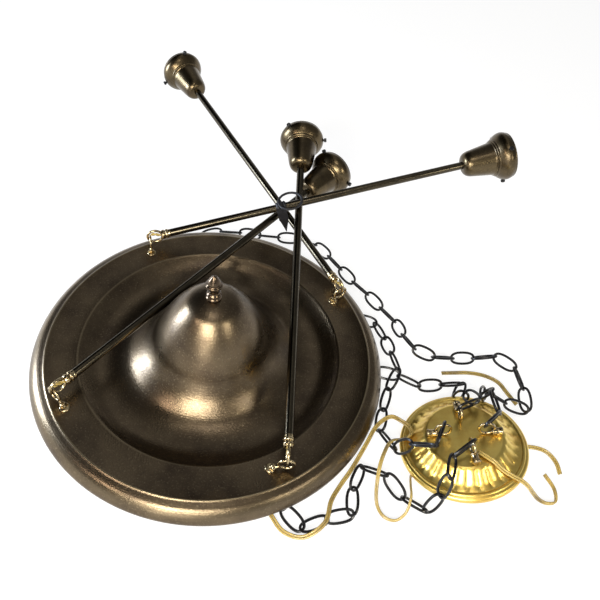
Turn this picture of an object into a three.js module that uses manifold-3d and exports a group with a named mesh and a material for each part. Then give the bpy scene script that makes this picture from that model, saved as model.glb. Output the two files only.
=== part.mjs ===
// Pan chandelier of the 1920s lying in a heap: a spun pan, four pendants, four chains and a canopy.
// Millimetres, +Z up, the floor at z = 0, the middle of the pan at x = y = 0.
import * as THREE from "three";
import Module from "manifold-3d";

const wasm = await Module();
wasm.setup();

// Fits
const GAP = 0.3;

// The pan, face up; heights in its profile are over the flat of its flange
const FLANGE_Z = 31;
const FLANGE_R = 180;
const FLANGE_W = 34;
const RECESS_R = FLANGE_R - FLANGE_W;
const PAN_WALL = 1.4;
const RIM_W = 18;
const LIP_R = FLANGE_R + RIM_W;
const DOME_TOP = 86;
const STUD_R = 3;
const FACETS = 48;

// The finial that screws on the pan's stud
const FINIAL_R = 8.9;
const FINIAL_H = 33;

// Wire loops: a turned collar and a ring
const WIRE_R = 1.4;
const LOOP_R = 8;
const STEM_R = 2.4;
const COLLAR_R = 4.8;

// The pendants: tube, the loop at its top end, the shade holder at the other
const ROD_R = 4.75;
const ROD_BORE_R = 3.6;
const ROD_RING_R = 9.1;
const ROD_WIRE_R = 1.5;
const FERRULE_R = 5.8;
const FERRULE_L = 11;
const PENDANT_L = 461;
const HINGE_UP = 19.5;
const CUP_R = 30.25;
const CUP_WALL = 1;
const SCREW_R = 1.6;
const SCREW_HEAD_R = 2.8;
const SCREW_OUT = 34.5;

// Chains: a link is a round wire bent to an oval
const LINK_L = 32;
const LINK_W = 16.5;
const LINK_WIRE_R = 1.3;
const BITE = 0.2;
const LINK_SIDES = 4;

// The canopy, domed side up, its left edge on the floor
const CANOPY_R = 68;
const CANOPY_H = 22;
const CANOPY_WALL = 1.2;
const CROWN_R = 41;
const FLUTES = 28;
const LOOP_AT_R = 37;
const CANOPY_X = 291.3;
const CANOPY_Y = -60.4;
const CANOPY_TILT_X = -7.1;
const CANOPY_TILT_Y = -13.6;
const CANOPY_LIFT = 18.6;

// Lamp leads; the short ones lead from a pan loop into a pendant: height, way along
const LEAD_R = 2;
const STUB = [[0, 24], [0, 15], [0.3, 12], [2.6, 8.2], [3.9, 5], [4.1, 1.8]];
const LEADS = {
  front: [
    [86, -150, 2.6],
    [100, -168, 2.6],
    [114, -181, 2.6],
    [134, -184, 6],
    [152, -170, 16],
    [156, -146, 14],
    [164, -126, 9],
    [174, -106, 9],
    [186, -78, 14],
    [197, -52, 16],
    [212, -38, 16],
    [224, -40, 14],
    [233, -46, 15],
    [235, -54, 15.6],
    [228, -61, 14],
    [214, -68, 17],
    [204, -90, 25],
    [200, -112, 23],
    [204, -136, 4],
    [212, -147, 2.6],
    [224, -149, 2.6],
    [233, -142, 9],
    [236, -128, 18],
    [236, -112, 14],
    [239, -98, 5],
    [250, -88, 2.6],
  ],
  right: [
    [297, -79, 47.8],
    [304.5, -85, 51],
    [312, -90.5, 53],
    [320, -94, 48.6],
    [331, -97, 44.6],
    [342, -100, 43],
    [352, -101, 36],
    [362, -101, 24],
    [374, -101, 11],
    [386, -100, 4],
    [396, -96, 2.6],
    [397, -82, 2.6],
    [388, -66, 2.6],
  ],
  back: [
    [274, 44, 2.6],
    [290, 48, 2.6],
    [308, 52, 2.6],
    [328, 52, 2.6],
    [344, 46, 2.6],
    [354, 33, 2.6],
    [363.8, 18, 3.9],
  ],
  edge: [
    [330, -52, 2.6],
    [345, -46, 2.6],
    [360, -40, 2.6],
    [375, -35, 2.6],
    [393, -37, 2.6],
    [403, -48, 2.6],
    [406, -62, 2.6],
  ],
};

// The strap tied round the back pendant
const TIE_FROM = 162;
const TIE_L = 13;
const TIE_RING_R = 15;
const TIE_TAIL = 38;

// Each pendant: where its hinge stands on the pan (inset from the flange's edge, angle), the way
// it lies (azimuth, slope), how far its pan loop leans along its own ring and how far its first
// screw is turned
const PENDANTS = [
  { name: "right", inset: 8.4, angle: 38.3, azimuth: 129.57, slope: 4.59, lean: 8.7, turn: 35 },
  { name: "front", inset: 12.6, angle: -51.1, azimuth: 97.08, slope: 5.93, lean: 15.5, turn: -10 },
  { name: "left", inset: 7.5, angle: -143.6, azimuth: 59.19, slope: 3.31, lean: -13.4, turn: 0 },
  { name: "back", inset: 7.8, angle: 130.2, azimuth: 20.51, slope: 13.35, lean: -8.5, turn: 65 },
];
const SCREWS = 3;

// Where the chains run over the floor, from under the pan to the canopy: x, y, height
const PITCH = LINK_L - 4 * LINK_WIRE_R + BITE;
const ROUTES = {
  right: [
    [150, 104, 4],
    [176, 102, 3.6],
    [188, 100, 5],
    [198, 78, 8],
    [206, 56, 13],
    [216, 36, 20],
    [216, 18, 19],
    [208, 0, 10],
    [202, -30, 6.3],
    [202, -52, 6.3],
    [208, -78, 6.3],
  ],
  back: [
    [-96, 148, 5],
    [-84, 170, 3.6],
    [-66, 194, 3.8],
    [-33, 214, 6.3],
    [27, 218, 6.3],
    [84, 228, 6.3],
    [112, 206, 6.3],
    [149, 166, 6.3],
    [170, 150, 6.3],
    [184, 134, 6.3],
    [209, 112, 6.3],
    [221, 90, 10],
    [224, 68, 20],
    [243, 54, 20],
    [272, 60, 8],
    [303, 74, 6.3],
    [323, 70, 8],
    [346, 78, 20],
    [364, 54, 18],
    [372, 24, 12],
    [374, 2, 8],
  ],
  front: [
    [104, -152, 5],
    [116, -166, 3.6],
    [132, -176, 4],
    [152, -162, 6.3],
    [174, -158, 6.3],
    [190, -142, 6.3],
    [176, -124, 6.3],
    [182, -104, 6.3],
    [198, -84, 6.3],
    [206, -100, 14],
    [222, -120, 6.3],
    [246, -136, 6.3],
    [266, -134, 6.3],
  ],
  left: [
    [-100, -100, 5],
    [-60, -70, 6.3],
    [0, -20, 6.3],
    [100, 20, 6.3],
    [172, 28, 4],
    [208, 28, 3.8],
    [226, 26, 5],
    [242, 16, 6.3],
    [262, 20, 6.3],
    [290, 31, 6.3],
    [312, 33, 6.3],
  ],
};
// Each chain's loop on the canopy, and its way over the rim: radius, angle, height in the canopy
const CHAIN_TO = { right: "left", back: "right", front: "front", left: "back" };
const OVER = {
  right: [[86, 30, 4], [70, 31, 14], [54, 32, 20], [44, 33, 33]],
  back: [[86, 74, 4], [70, 70, 14], [54, 66, 20], [44, 63, 33]],
  left: [[86, 200, 6], [72, 206, 12], [54, 212, 19], [44, 218, 33]],
  front: [[84, 247, 2], [70, 248, 13], [54, 248, 19], [44, 247, 33]],
};

const group = new THREE.Group();
group.name = "chandelier";

// Finishes
const DARK_BRASS = { color: 0x5b5142, metalness: 0.9, roughness: 0.3 };
const ROD_BRASS = { color: 0x6a6250, metalness: 0.9, roughness: 0.28 };
const BRIGHT_BRASS = { color: 0xc9a24a, metalness: 0.9, roughness: 0.28 };
const WORN_BRASS = { color: 0xb7a98a, metalness: 0.9, roughness: 0.25 };
const BLACK_STEEL = { color: 0x26211c, metalness: 0.7, roughness: 0.45 };
const GOLD_LEAD = { color: 0x9a8850, metalness: 0.1, roughness: 0.4 };
const BLACK_STRAP = { color: 0x15151a, metalness: 0, roughness: 0.6 };
const PALE_CERAMIC = { color: 0xd9d2c2, metalness: 0, roughness: 0.35 };

const rad = (degrees) => (degrees * Math.PI) / 180;
const vec = (x, y, z) => new THREE.Vector3(x, y, z);

// Adds one named piece
function add(name, geometry, finish) {
  const clean = outward(geometry);
  clean.computeVertexNormals();
  const mesh = new THREE.Mesh(clean, new THREE.MeshStandardMaterial(finish));
  mesh.name = name;
  group.add(mesh);
  return mesh;
}

// Turns the faces of a closed geometry outward
function outward(geometry) {
  const p = geometry.attributes.position;
  const index = geometry.index.array;
  let volume = 0;
  const a = vec(0, 0, 0);
  const b = vec(0, 0, 0);
  const c = vec(0, 0, 0);
  for (let i = 0; i < index.length; i += 3) {
    a.fromBufferAttribute(p, index[i]);
    b.fromBufferAttribute(p, index[i + 1]);
    c.fromBufferAttribute(p, index[i + 2]);
    volume += a.dot(b.cross(c));
  }
  if (volume < 0) {
    for (let i = 0; i < index.length; i += 3) {
      const swap = index[i];
      index[i] = index[i + 1];
      index[i + 1] = swap;
    }
  }
  return geometry;
}

function indexed(points, faces) {
  const geometry = new THREE.BufferGeometry();
  geometry.setAttribute("position", new THREE.Float32BufferAttribute(points, 3));
  geometry.setIndex(faces);
  return geometry;
}

// A body of revolution about Z from a closed outline of [radius, height]; lift(a, r, z) may
// move a point, for flutes
function turned(outline, segments, lift = null) {
  const points = [];
  const rows = [];
  for (const [r, z] of outline) {
    const row = [];
    if (r < 1e-6) {
      points.push(0, 0, z);
      for (let s = 0; s < segments; s += 1) {
        row.push(points.length / 3 - 1);
      }
    } else {
      for (let s = 0; s < segments; s += 1) {
        const angle = (2 * Math.PI * s) / segments;
        const up = lift ? lift(s, r, z) : 0;
        points.push(r * Math.cos(angle), r * Math.sin(angle), z + up);
        row.push(points.length / 3 - 1);
      }
    }
    rows.push(row);
  }
  const faces = [];
  for (let i = 0; i < rows.length; i += 1) {
    const low = rows[i];
    const high = rows[(i + 1) % rows.length];
    for (let s = 0; s < segments; s += 1) {
      const t = (s + 1) % segments;
      if (low[s] !== low[t]) {
        faces.push(low[s], low[t], high[t]);
      }
      if (high[s] !== high[t]) {
        faces.push(low[s], high[t], high[s]);
      }
    }
  }
  return indexed(points, faces);
}

// A thin wall: the outline and the same line moved by the wall to its right-hand side; the
// points numbered in skip are left out of the moved line
function wall(line, thickness, skip = []) {
  const moved = line.map(([r, z], i) => {
    const before = line[Math.max(0, i - 1)];
    const after = line[Math.min(line.length - 1, i + 1)];
    const first = unit2(r - before[0], z - before[1]);
    const second = unit2(after[0] - r, after[1] - z);
    const u = i === 0 ? second : first;
    const v = i === line.length - 1 ? first : second;
    const nx = u[1] + v[1];
    const nz = -u[0] - v[0];
    const scale = thickness / Math.max(0.5, 1 + u[0] * v[0] + u[1] * v[1]);
    return [r + nx * scale, z + nz * scale];
  });
  const inner = moved.filter((p, i) => !skip.includes(i));
  return [...line, ...inner.reverse()];
}

function unit2(x, y) {
  const length = Math.hypot(x, y) || 1;
  return [x / length, y / length];
}

// A round wire along a path, closed on itself or capped
function wire(path, radius, sides, closed) {
  const count = path.length;
  const tangents = path.map((p, i) => {
    const before = closed ? path[(i + count - 1) % count] : path[Math.max(0, i - 1)];
    const after = closed ? path[(i + 1) % count] : path[Math.min(count - 1, i + 1)];
    return after.clone().sub(before).normalize();
  });
  let side = vec(0, 0, 1).cross(tangents[0]);
  if (side.length() < 0.2) {
    side = vec(1, 0, 0).cross(tangents[0]);
  }
  side.normalize();
  const points = [];
  for (let i = 0; i < count; i += 1) {
    side = side.clone().addScaledVector(tangents[i], -side.dot(tangents[i])).normalize();
    const other = tangents[i].clone().cross(side);
    for (let s = 0; s < sides; s += 1) {
      const angle = (2 * Math.PI * s) / sides;
      const p = path[i].clone();
      p.addScaledVector(side, radius * Math.cos(angle));
      p.addScaledVector(other, radius * Math.sin(angle));
      points.push(p.x, p.y, p.z);
    }
  }
  const faces = [];
  const turns = closed ? count : count - 1;
  for (let i = 0; i < turns; i += 1) {
    const j = (i + 1) % count;
    for (let s = 0; s < sides; s += 1) {
      const t = (s + 1) % sides;
      faces.push(i * sides + s, j * sides + s, j * sides + t);
      faces.push(i * sides + s, j * sides + t, i * sides + t);
    }
  }
  if (!closed) {
    const last = (count - 1) * sides;
    for (let s = 1; s < sides - 1; s += 1) {
      faces.push(0, s, s + 1);
      faces.push(last, last + s + 1, last + s);
    }
  }
  return indexed(points, faces);
}

// Closed planar ring of wire in the plane of two unit vectors
function ringPath(centre, u, v, radius, steps) {
  const path = [];
  for (let i = 0; i < steps; i += 1) {
    const angle = (2 * Math.PI * i) / steps;
    const p = centre.clone();
    p.addScaledVector(u, radius * Math.cos(angle));
    p.addScaledVector(v, radius * Math.sin(angle));
    path.push(p);
  }
  return path;
}

// Solids for joining and cutting
function solid(geometry) {
  outward(geometry);
  return new wasm.Manifold(
    new wasm.Mesh({
      numProp: 3,
      vertProperties: new Float32Array(geometry.attributes.position.array),
      triVerts: new Uint32Array(geometry.index.array),
    }),
  );
}

function plain(manifold) {
  const mesh = manifold.getMesh();
  return indexed(Array.from(mesh.vertProperties), Array.from(mesh.triVerts));
}

function joined(...geometries) {
  let whole = solid(geometries[0]);
  for (const geometry of geometries.slice(1)) {
    whole = whole.add(solid(geometry));
  }
  return plain(whole);
}

function cut(body, ...tools) {
  let whole = solid(body);
  for (const tool of tools) {
    whole = whole.subtract(solid(tool));
  }
  return plain(whole);
}

// Puts a body made along +Z with its foot at a point, along a direction; across is where its
// local X goes
function placed(geometry, foot, along, across) {
  const z = along.clone().normalize();
  const x = across.clone().addScaledVector(z, -across.dot(z)).normalize();
  const y = z.clone().cross(x);
  const matrix = new THREE.Matrix4().makeBasis(x, y, z).setPosition(foot);
  geometry.applyMatrix4(matrix);
  return geometry;
}

function cylinder(radius, low, high, segments) {
  return turned([[0, low], [radius, low], [radius, high], [0, high]], segments);
}

// A flat tail hanging from y = -4 down along +Y to a point, its face at x
function blade(x, thick, from, width, length) {
  const outline = [
    [-4, from],
    [-4, from + width],
    [length * 0.45, from + width],
    [length, from + width * 0.55],
    [length * 0.45, from],
  ];
  const points = [];
  for (const side of [x, x + thick]) {
    for (const [y, z] of outline) {
      points.push(side, y, z);
    }
  }
  const faces = [];
  for (let i = 1; i < 4; i += 1) {
    faces.push(0, i, i + 1, 5, 5 + i + 1, 5 + i);
  }
  for (let i = 0; i < 5; i += 1) {
    const j = (i + 1) % 5;
    faces.push(i, 5 + i, 5 + j, i, 5 + j, j);
  }
  return indexed(points, faces);
}

// A curve through hand-set points, with so many steps between two of them
function smooth(points, between) {
  const curve = new THREE.CatmullRomCurve3(points, false, "centripetal");
  return curve.getPoints((points.length - 1) * between);
}

// A loop as the makers fitted it: a round foot, a turned collar and a ring in the plane of
// along (foot to ring) and side
function loop(foot, up, centre, side, ringRadius) {
  const start = foot.clone().addScaledVector(up, 1.6);
  const along = centre.clone().sub(start).normalize();
  const flat = side.clone().addScaledVector(along, -side.dot(along)).normalize();
  const reach = centre.distanceTo(start) - ringRadius;
  const collar = turned(
    [
      [0, 0],
      [COLLAR_R * 0.4, 0],
      [COLLAR_R * 0.76, reach * 0.4],
      [COLLAR_R * 0.5, reach * 0.62],
      [COLLAR_R * 0.3, reach],
      [0, reach],
    ],
    6,
  );
  const ring = wire(ringPath(centre, along, flat, ringRadius, 12), WIRE_R, 5, true);
  const base = turned([[0, 0], [COLLAR_R + 0.6, 0], [COLLAR_R, 1.9], [0, 1.9]], 8);
  return joined(ring, placed(collar, start, along, flat), placed(base, foot, up, side));
}

// The pan: a domed middle, a deep trough, a flat flange and a rolled rim; the dome and the trough
// are drawn for a recess of 146 and stretched to RECESS_R
const drawn = (r) => (r * RECESS_R) / 146;
const panLine = [
  [STUD_R + 0.3, DOME_TOP],
  [drawn(10.5), DOME_TOP - 0.4],
  [drawn(25.8), 80],
  [drawn(36), 70],
  [drawn(45), 58],
  [drawn(52.8), 45],
  [drawn(59.6), 32],
  [drawn(65.4), 19.5],
  [drawn(73.4), 8],
  [drawn(83), -1],
  [drawn(94), -8.2],
  [drawn(110), -12],
  [drawn(127), -10.7],
  [drawn(139), -5],
  [RECESS_R, 0],
  [FLANGE_R, 0],
  [LIP_R - 9, -3.2],
  [LIP_R - 3, -9.5],
  [LIP_R, -16.5],
  [LIP_R - 2.5, -21.5],
  [LIP_R - 6.5, -22.5],
];
const hooks = PENDANTS.map((pendant) => {
  const radius = FLANGE_R - pendant.inset;
  const hinge = vec(
    radius * Math.cos(rad(pendant.angle)),
    radius * Math.sin(rad(pendant.angle)),
    FLANGE_Z + HINGE_UP,
  );
  const azimuth = rad(pendant.azimuth);
  const slope = rad(pendant.slope);
  const along = vec(
    Math.cos(slope) * Math.cos(azimuth),
    Math.cos(slope) * Math.sin(azimuth),
    Math.sin(slope),
  );
  const axis = vec(Math.sin(azimuth), -Math.cos(azimuth), 0);
  const centre = vec(hinge.x, hinge.y, hinge.z - LOOP_R);
  const foot = vec(
    hinge.x - pendant.lean * axis.x,
    hinge.y - pendant.lean * axis.y,
    FLANGE_Z,
  );
  return { ...pendant, hinge, along, axis, centre, foot };
});
const panShell = wall(panLine, PAN_WALL, [3, 5, 16]);
const panBody = turned(panShell.map(([r, z]) => [r, z + FLANGE_Z]), FACETS);
const holes = hooks.map(({ foot }) => {
  const hole = cylinder(STEM_R + 0.3, -8, 8, 8);
  hole.translate(foot.x, foot.y, foot.z);
  return hole;
});
add("pan", cut(panBody, ...holes), DARK_BRASS);

// Stud and nut that hold the finial
const stud = cylinder(STUD_R, DOME_TOP - 16, DOME_TOP + 12, 12);
const nut = cylinder(7, DOME_TOP - 11, DOME_TOP - PAN_WALL - 2.8, 6);
const studNut = joined(stud, nut);
studNut.translate(0, 0, FLANGE_Z);
add("finial_stud", studNut, WORN_BRASS);

const finialLine = [
  [STUD_R + 0.3, 0.3],
  [7.4, 0.3],
  [8.2, 1.8],
  [7, 3.8],
  [7.7, 5.8],
  [7.4, 7.6],
  [5.6, 9.4],
  [5.6, 13.5],
  [7.6, 17.4],
  [FINIAL_R, 19.8],
  [7.8, 22],
  [7.4, 25.6],
  [4.6, 29.4],
  [1.8, FINIAL_H - 1.4],
  [0, FINIAL_H],
  [0, 14],
  [STUD_R + 0.3, 13],
];
const finial = turned(finialLine, 14);
finial.translate(0, 0, FLANGE_Z + DOME_TOP);
add("finial", finial, DARK_BRASS);

// The four loops on the pan's face and the four chain loops under it, each pair on one stem
const CHAIN_LOOP_R = 9;
const UNDER_Z = FLANGE_Z - PAN_WALL;
for (const hook of hooks) {
  const upper = loop(hook.foot, vec(0, 0, 1), hook.centre, hook.axis, LOOP_R);
  add(`pan_loop_${hook.name}`, upper, WORN_BRASS);
}
for (const hook of hooks) {
  const [x, y] = ROUTES[hook.name][0];
  const side = vec(x - hook.foot.x, y - hook.foot.y, 0).normalize();
  const top = vec(hook.foot.x, hook.foot.y, UNDER_Z);
  const centre = vec(hook.foot.x, hook.foot.y, CHAIN_LOOP_R + WIRE_R);
  const lower = loop(top, vec(0, 0, -1), centre, side, CHAIN_LOOP_R);
  const stem = cylinder(STEM_R, UNDER_Z - 1, FLANGE_Z - GAP / 3, 8);
  stem.translate(hook.foot.x, hook.foot.y, 0);
  add(`chain_loop_${hook.name}`, joined(lower, stem), BLACK_STEEL);
  hook.chainEye = centre;
  hook.chainWay = side;
}

// Pendants
const cupLine = [
  [ROD_R + 0.15, -54.5],
  [11, -53],
  [15.6, -48],
  [17.4, -39.5],
  [21.2, -14.5],
  [23.4, -12.5],
  [27.8, -6.6],
  [CUP_R, 0],
  [29.6, 4.6],
  [28, 8],
];
const cupInner = [
  [26.9, 8],
  [28.4, 4.4],
  [29, 0],
  [20, -13],
  [16.2, -39.5],
  [13.2, -47.5],
  [ROD_R + 0.15, -53.1],
];
const socketLine = [
  [ROD_BORE_R, -48.5],
  [11.5, -48.5],
  [13.6, -44.5],
  [14.6, -6],
  [12.4, -6],
  [12, -41.5],
  [ROD_BORE_R, -41.5],
];
const RING_AHEAD = ROD_RING_R - ROD_WIRE_R - WIRE_R - 0.2;
const ROD_FROM = RING_AHEAD + ROD_RING_R + FERRULE_L;
for (const hook of hooks) {
  const { name, hinge, along, axis } = hook;
  const ways = Array.from({ length: SCREWS }, (_, n) => {
    const turn = rad(hook.turn + (360 / SCREWS) * n);
    return vec(Math.cos(turn), Math.sin(turn), 0);
  });
  const put = (geometry) => placed(geometry, hinge, along, axis);
  const up = along.clone().cross(axis).negate();
  const ferrule = [
    [ROD_BORE_R, ROD_FROM],
    [ROD_BORE_R, ROD_FROM - FERRULE_L - 1.4],
    [FERRULE_R - 0.8, ROD_FROM - FERRULE_L - 1.4],
    [FERRULE_R, ROD_FROM - FERRULE_L + 2.4],
    [FERRULE_R - 1, ROD_FROM - FERRULE_L + 4.4],
    [FERRULE_R, ROD_FROM - FERRULE_L + 6.4],
    [ROD_R, ROD_FROM - 1.5],
    [ROD_R, ROD_FROM],
  ];
  const ringCentre = hinge.clone().addScaledVector(along, RING_AHEAD);
  const ringWire = wire(ringPath(ringCentre, along, up, ROD_RING_R, 12), ROD_WIRE_R, 5, true);
  const mouth = put(cylinder(LEAD_R + 0.5, RING_AHEAD + 1, ROD_FROM + 1, 8));
  const eye = cut(joined(put(turned(ferrule, 8)), ringWire), mouth);
  add(`rod_loop_${name}`, eye, WORN_BRASS);
  const tube = [
    [ROD_BORE_R, ROD_FROM],
    [ROD_R, ROD_FROM],
    [ROD_R, PENDANT_L - 48.5],
    [ROD_BORE_R, PENDANT_L - 48.5],
  ];
  add(`rod_${name}`, put(turned(tube, 12)), ROD_BRASS);
  const stub = STUB.map(([y, z]) => {
    return hinge.clone().addScaledVector(up, y).addScaledVector(along, z);
  });
  add(`rod_lead_${name}`, wire(smooth(stub, 2), LEAD_R, 8, false), GOLD_LEAD);
  const shift = ([r, z]) => [r, z + PENDANT_L];
  const cup = turned([...cupLine, ...cupInner].map(shift), 18);
  const bores = ways.map((way) => {
    const bore = cylinder(SCREW_R + 0.2, 20, 40, 6);
    return placed(bore, vec(0, 0, PENDANT_L), way, vec(0, 0, 1));
  });
  add(`cup_${name}`, put(cut(cup, ...bores)), DARK_BRASS);
  add(`socket_${name}`, put(turned(socketLine.map(shift), 10)), PALE_CERAMIC);
  ways.forEach((way, n) => {
    const screw = turned(
      [
        [0, 25],
        [SCREW_R, 25],
        [SCREW_R, CUP_R + 0.8],
        [SCREW_HEAD_R, CUP_R + 0.9],
        [SCREW_HEAD_R, SCREW_OUT],
        [0, SCREW_OUT],
      ],
      6,
    );
    placed(screw, vec(0, 0, PENDANT_L), way, vec(0, 0, 1));
    add(`screw_${name}_${n + 1}`, put(screw), BLACK_STEEL);
  });
}

// The black strap knotted round the back pendant where the four cross: a band, a ring over the
// crossing and a pointed tail
const tied = hooks.find(({ name }) => name === "back");
const band = turned(
  [
    [ROD_R, TIE_FROM],
    [ROD_R + 1.6, TIE_FROM],
    [ROD_R + 1.6, TIE_FROM + TIE_L],
    [ROD_R, TIE_FROM + TIE_L],
  ],
  12,
);
const tieRing = wire(
  ringPath(
    vec(0, -ROD_R - 2.1, TIE_FROM + 4 + TIE_RING_R),
    vec(0, 0, 1),
    vec(1, 0, 0),
    TIE_RING_R,
    14,
  ),
  1.7,
  6,
  true,
);
const tail = blade(ROD_R + 0.7, 2, TIE_FROM, TIE_L, TIE_TAIL);
add("tie", placed(joined(band, tieRing, tail), tied.hinge, tied.along, tied.axis), BLACK_STRAP);

// The canopy and its four loops
const tilt = new THREE.Matrix4().makeRotationX(rad(CANOPY_TILT_X));
tilt.multiply(new THREE.Matrix4().makeRotationY(rad(CANOPY_TILT_Y)));
tilt.setPosition(CANOPY_X, CANOPY_Y, CANOPY_LIFT);
const canopyOuter = [
  [4.3, CANOPY_H],
  [CROWN_R, CANOPY_H],
  [CROWN_R + 5, CANOPY_H - 4.5],
  [52.5, 10],
  [60, 6.4],
  [62.5, 7],
  [CANOPY_R, 3.6],
  [CANOPY_R, 0],
];
const canopyInner = [
  [CANOPY_R - CANOPY_WALL, 0],
  [CANOPY_R - CANOPY_WALL, 2.6],
  [60.4, 4.9],
  [52.1, 8.6],
  [CROWN_R - 0.8, CANOPY_H - 1.4],
  [4.3, CANOPY_H - 1.4],
];
const flute = (s, r) => (r > CROWN_R + 2 && r < 58 ? (s % 2 ? 0.7 : -0.3) : 0);
const canopy = turned([...canopyOuter, ...canopyInner], 2 * FLUTES, flute);
// The loops: where each stands, where its chain comes over the rim and which way it ends
const CANOPY_LOOPS = [
  { name: "right", at: 5, way: [-0.6, -0.8] },
  { name: "back", at: 99, way: [-0.8, -0.6] },
  { name: "left", at: 185, way: [0.35, 0.94] },
  { name: "front", at: -75, way: [0.8, 0.6] },
];
const canopyHoles = CANOPY_LOOPS.map(({ at }) => {
  const hole = cylinder(STEM_R + 0.3, 10, 40, 8);
  hole.translate(LOOP_AT_R * Math.cos(rad(at)), LOOP_AT_R * Math.sin(rad(at)), 0);
  return hole;
});
const canopyBody = cut(canopy, ...canopyHoles);
canopyBody.applyMatrix4(tilt);
add("canopy", canopyBody, BRIGHT_BRASS);
const canopyEnds = {};
for (const { name, at, way } of CANOPY_LOOPS) {
  const out = vec(Math.cos(rad(at)), Math.sin(rad(at)), 0);
  const foot = out.clone().multiplyScalar(LOOP_AT_R);
  foot.z = CANOPY_H;
  const centre = out.clone().multiplyScalar(LOOP_AT_R - 14.5);
  centre.z = CANOPY_H + LOOP_R + WIRE_R + 0.4;
  const ring = loop(foot, vec(0, 0, 1), centre, vec(0, 0, 1), LOOP_R);
  const stem = cylinder(STEM_R, -6, 1, 8);
  stem.translate(foot.x, foot.y, foot.z);
  const body = joined(ring, stem);
  body.applyMatrix4(tilt);
  add(`canopy_loop_${name}`, body, WORN_BRASS);
  const course = vec(way[0], way[1], 0.25).normalize();
  const past = (WIRE_R + LINK_WIRE_R + GAP) / Math.abs(vec(way[0], way[1], 0).cross(out).z);
  const end = centre.clone().add(vec(0, 0, LOOP_R)).addScaledVector(course, past - 1.2);
  canopyEnds[name] = [end.clone().addScaledVector(course, -PITCH), end];
  canopyEnds[name].forEach((p) => p.applyMatrix4(tilt));
}

// One oval link of chain between the points where it bears on its neighbours; the wire has a
// corner on its inside, so that neighbours bite into each other by BITE
function link(from, to, roll) {
  const centre = from.clone().add(to).multiplyScalar(0.5);
  const along = to.clone().sub(from).normalize();
  const level = vec(0, 0, 1).cross(along).normalize();
  const upright = along.clone().cross(level).normalize();
  const across = level.clone().multiplyScalar(Math.cos(roll));
  across.addScaledVector(upright, Math.sin(roll));
  const normal = along.clone().cross(across);
  const bend = LINK_W / 2 - LINK_WIRE_R;
  const straight = LINK_L / 2 - LINK_W / 2;
  const points = [];
  for (let i = 0; i < 8; i += 1) {
    const right = i < 4 ? 1 : -1;
    const end = i % 4 === 1 || i % 4 === 2;
    const up = (i % 4 < 2 ? -1 : 1) * right;
    const p = centre.clone().addScaledVector(along, right * (straight + (end ? bend : 0)));
    p.addScaledVector(across, up * bend * (end ? 0.45 : 1));
    const out = along.clone().multiplyScalar(end ? right : right * 0.4);
    out.addScaledVector(across, up * (end ? 0.4 : 1)).normalize();
    for (let s = 0; s < LINK_SIDES; s += 1) {
      const turn = (2 * Math.PI * s) / LINK_SIDES;
      const size = LINK_WIRE_R / (Math.abs(Math.cos(turn)) > 0.5 ? 0.93 : 1);
      const q = p.clone().addScaledVector(out, -size * Math.cos(turn));
      q.addScaledVector(normal, LINK_WIRE_R * Math.sin(turn));
      points.push(q.x, q.y, q.z);
    }
  }
  const faces = [];
  for (let i = 0; i < 8; i += 1) {
    const j = (i + 1) % 8;
    for (let s = 0; s < LINK_SIDES; s += 1) {
      const t = (s + 1) % LINK_SIDES;
      faces.push(i * LINK_SIDES + s, j * LINK_SIDES + s, j * LINK_SIDES + t);
      faces.push(i * LINK_SIDES + s, j * LINK_SIDES + t, i * LINK_SIDES + t);
    }
  }
  return indexed(points, faces);
}

// Seats one pitch apart along a route, the last two links folded so that they close on the end
function seatsAlong(route, end, pitch) {
  const fine = [];
  for (let i = 0; i + 1 < route.length; i += 1) {
    for (let n = 0; n < 80; n += 1) {
      fine.push(route[i].clone().lerp(route[i + 1], n / 80));
    }
  }
  fine.push(route[route.length - 1]);
  const seats = [fine[0]];
  for (const p of fine) {
    const last = seats[seats.length - 1];
    if (last.distanceTo(end) < 1.98 * pitch && seats.length > 2) {
      break;
    }
    if (p.distanceTo(last) >= pitch) {
      seats.push(last.clone().addScaledVector(p.clone().sub(last).normalize(), pitch));
    }
  }
  const last = seats[seats.length - 1];
  const line = end.clone().sub(last);
  const fold = vec(0, 0, 1).addScaledVector(line, -line.z / line.lengthSq()).normalize();
  const rise = Math.sqrt(Math.max(0, pitch * pitch - line.lengthSq() / 4));
  seats.push(last.clone().add(end).multiplyScalar(0.5).addScaledVector(fold, rise), end);
  return seats;
}

// A chain from a loop under the pan to a loop on the canopy
function chain(start, route, over, ends) {
  const local = over.map(([r, angle, z]) => {
    const p = vec(r * Math.cos(rad(angle)), r * Math.sin(rad(angle)), z);
    return p.applyMatrix4(tilt);
  });
  const path = [start, ...route.map(([x, y, z]) => vec(x, y, z)), ...local, ends[0]];
  const seats = seatsAlong(path, ends[0], PITCH);
  seats.push(ends[1]);
  const half = LINK_W / 2 - LINK_WIRE_R;
  let whole = null;
  for (let i = 0; i + 1 < seats.length; i += 1) {
    const z = Math.min(seats[i].z, seats[i + 1].z);
    const lean = Math.asin(Math.min(0.7071, Math.max(0.2, (z - LINK_WIRE_R) / half)));
    const last = i + 2 === seats.length;
    const roll = last ? Math.PI / 2 : i === 0 ? 0 : i % 2 ? lean : -lean;
    const one = solid(link(seats[i], seats[i + 1], roll));
    whole = whole ? whole.add(one) : one;
  }
  return plain(whole);
}

for (const hook of hooks) {
  const { name } = hook;
  const start = hook.chainEye.clone();
  start.addScaledVector(hook.chainWay, CHAIN_LOOP_R - WIRE_R - LINK_WIRE_R - GAP + 1.2);
  const to = CHAIN_TO[name];
  const body = chain(start, ROUTES[name], OVER[to], canopyEnds[to]);
  add(`chain_${name}`, body, BLACK_STEEL);
}

for (const [name, route] of Object.entries(LEADS)) {
  const path = smooth(route.map(([x, y, z]) => vec(x, y, z)), 3);
  add(`lead_${name}`, wire(path, LEAD_R, 8, false), GOLD_LEAD);
}

export default group;
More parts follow.
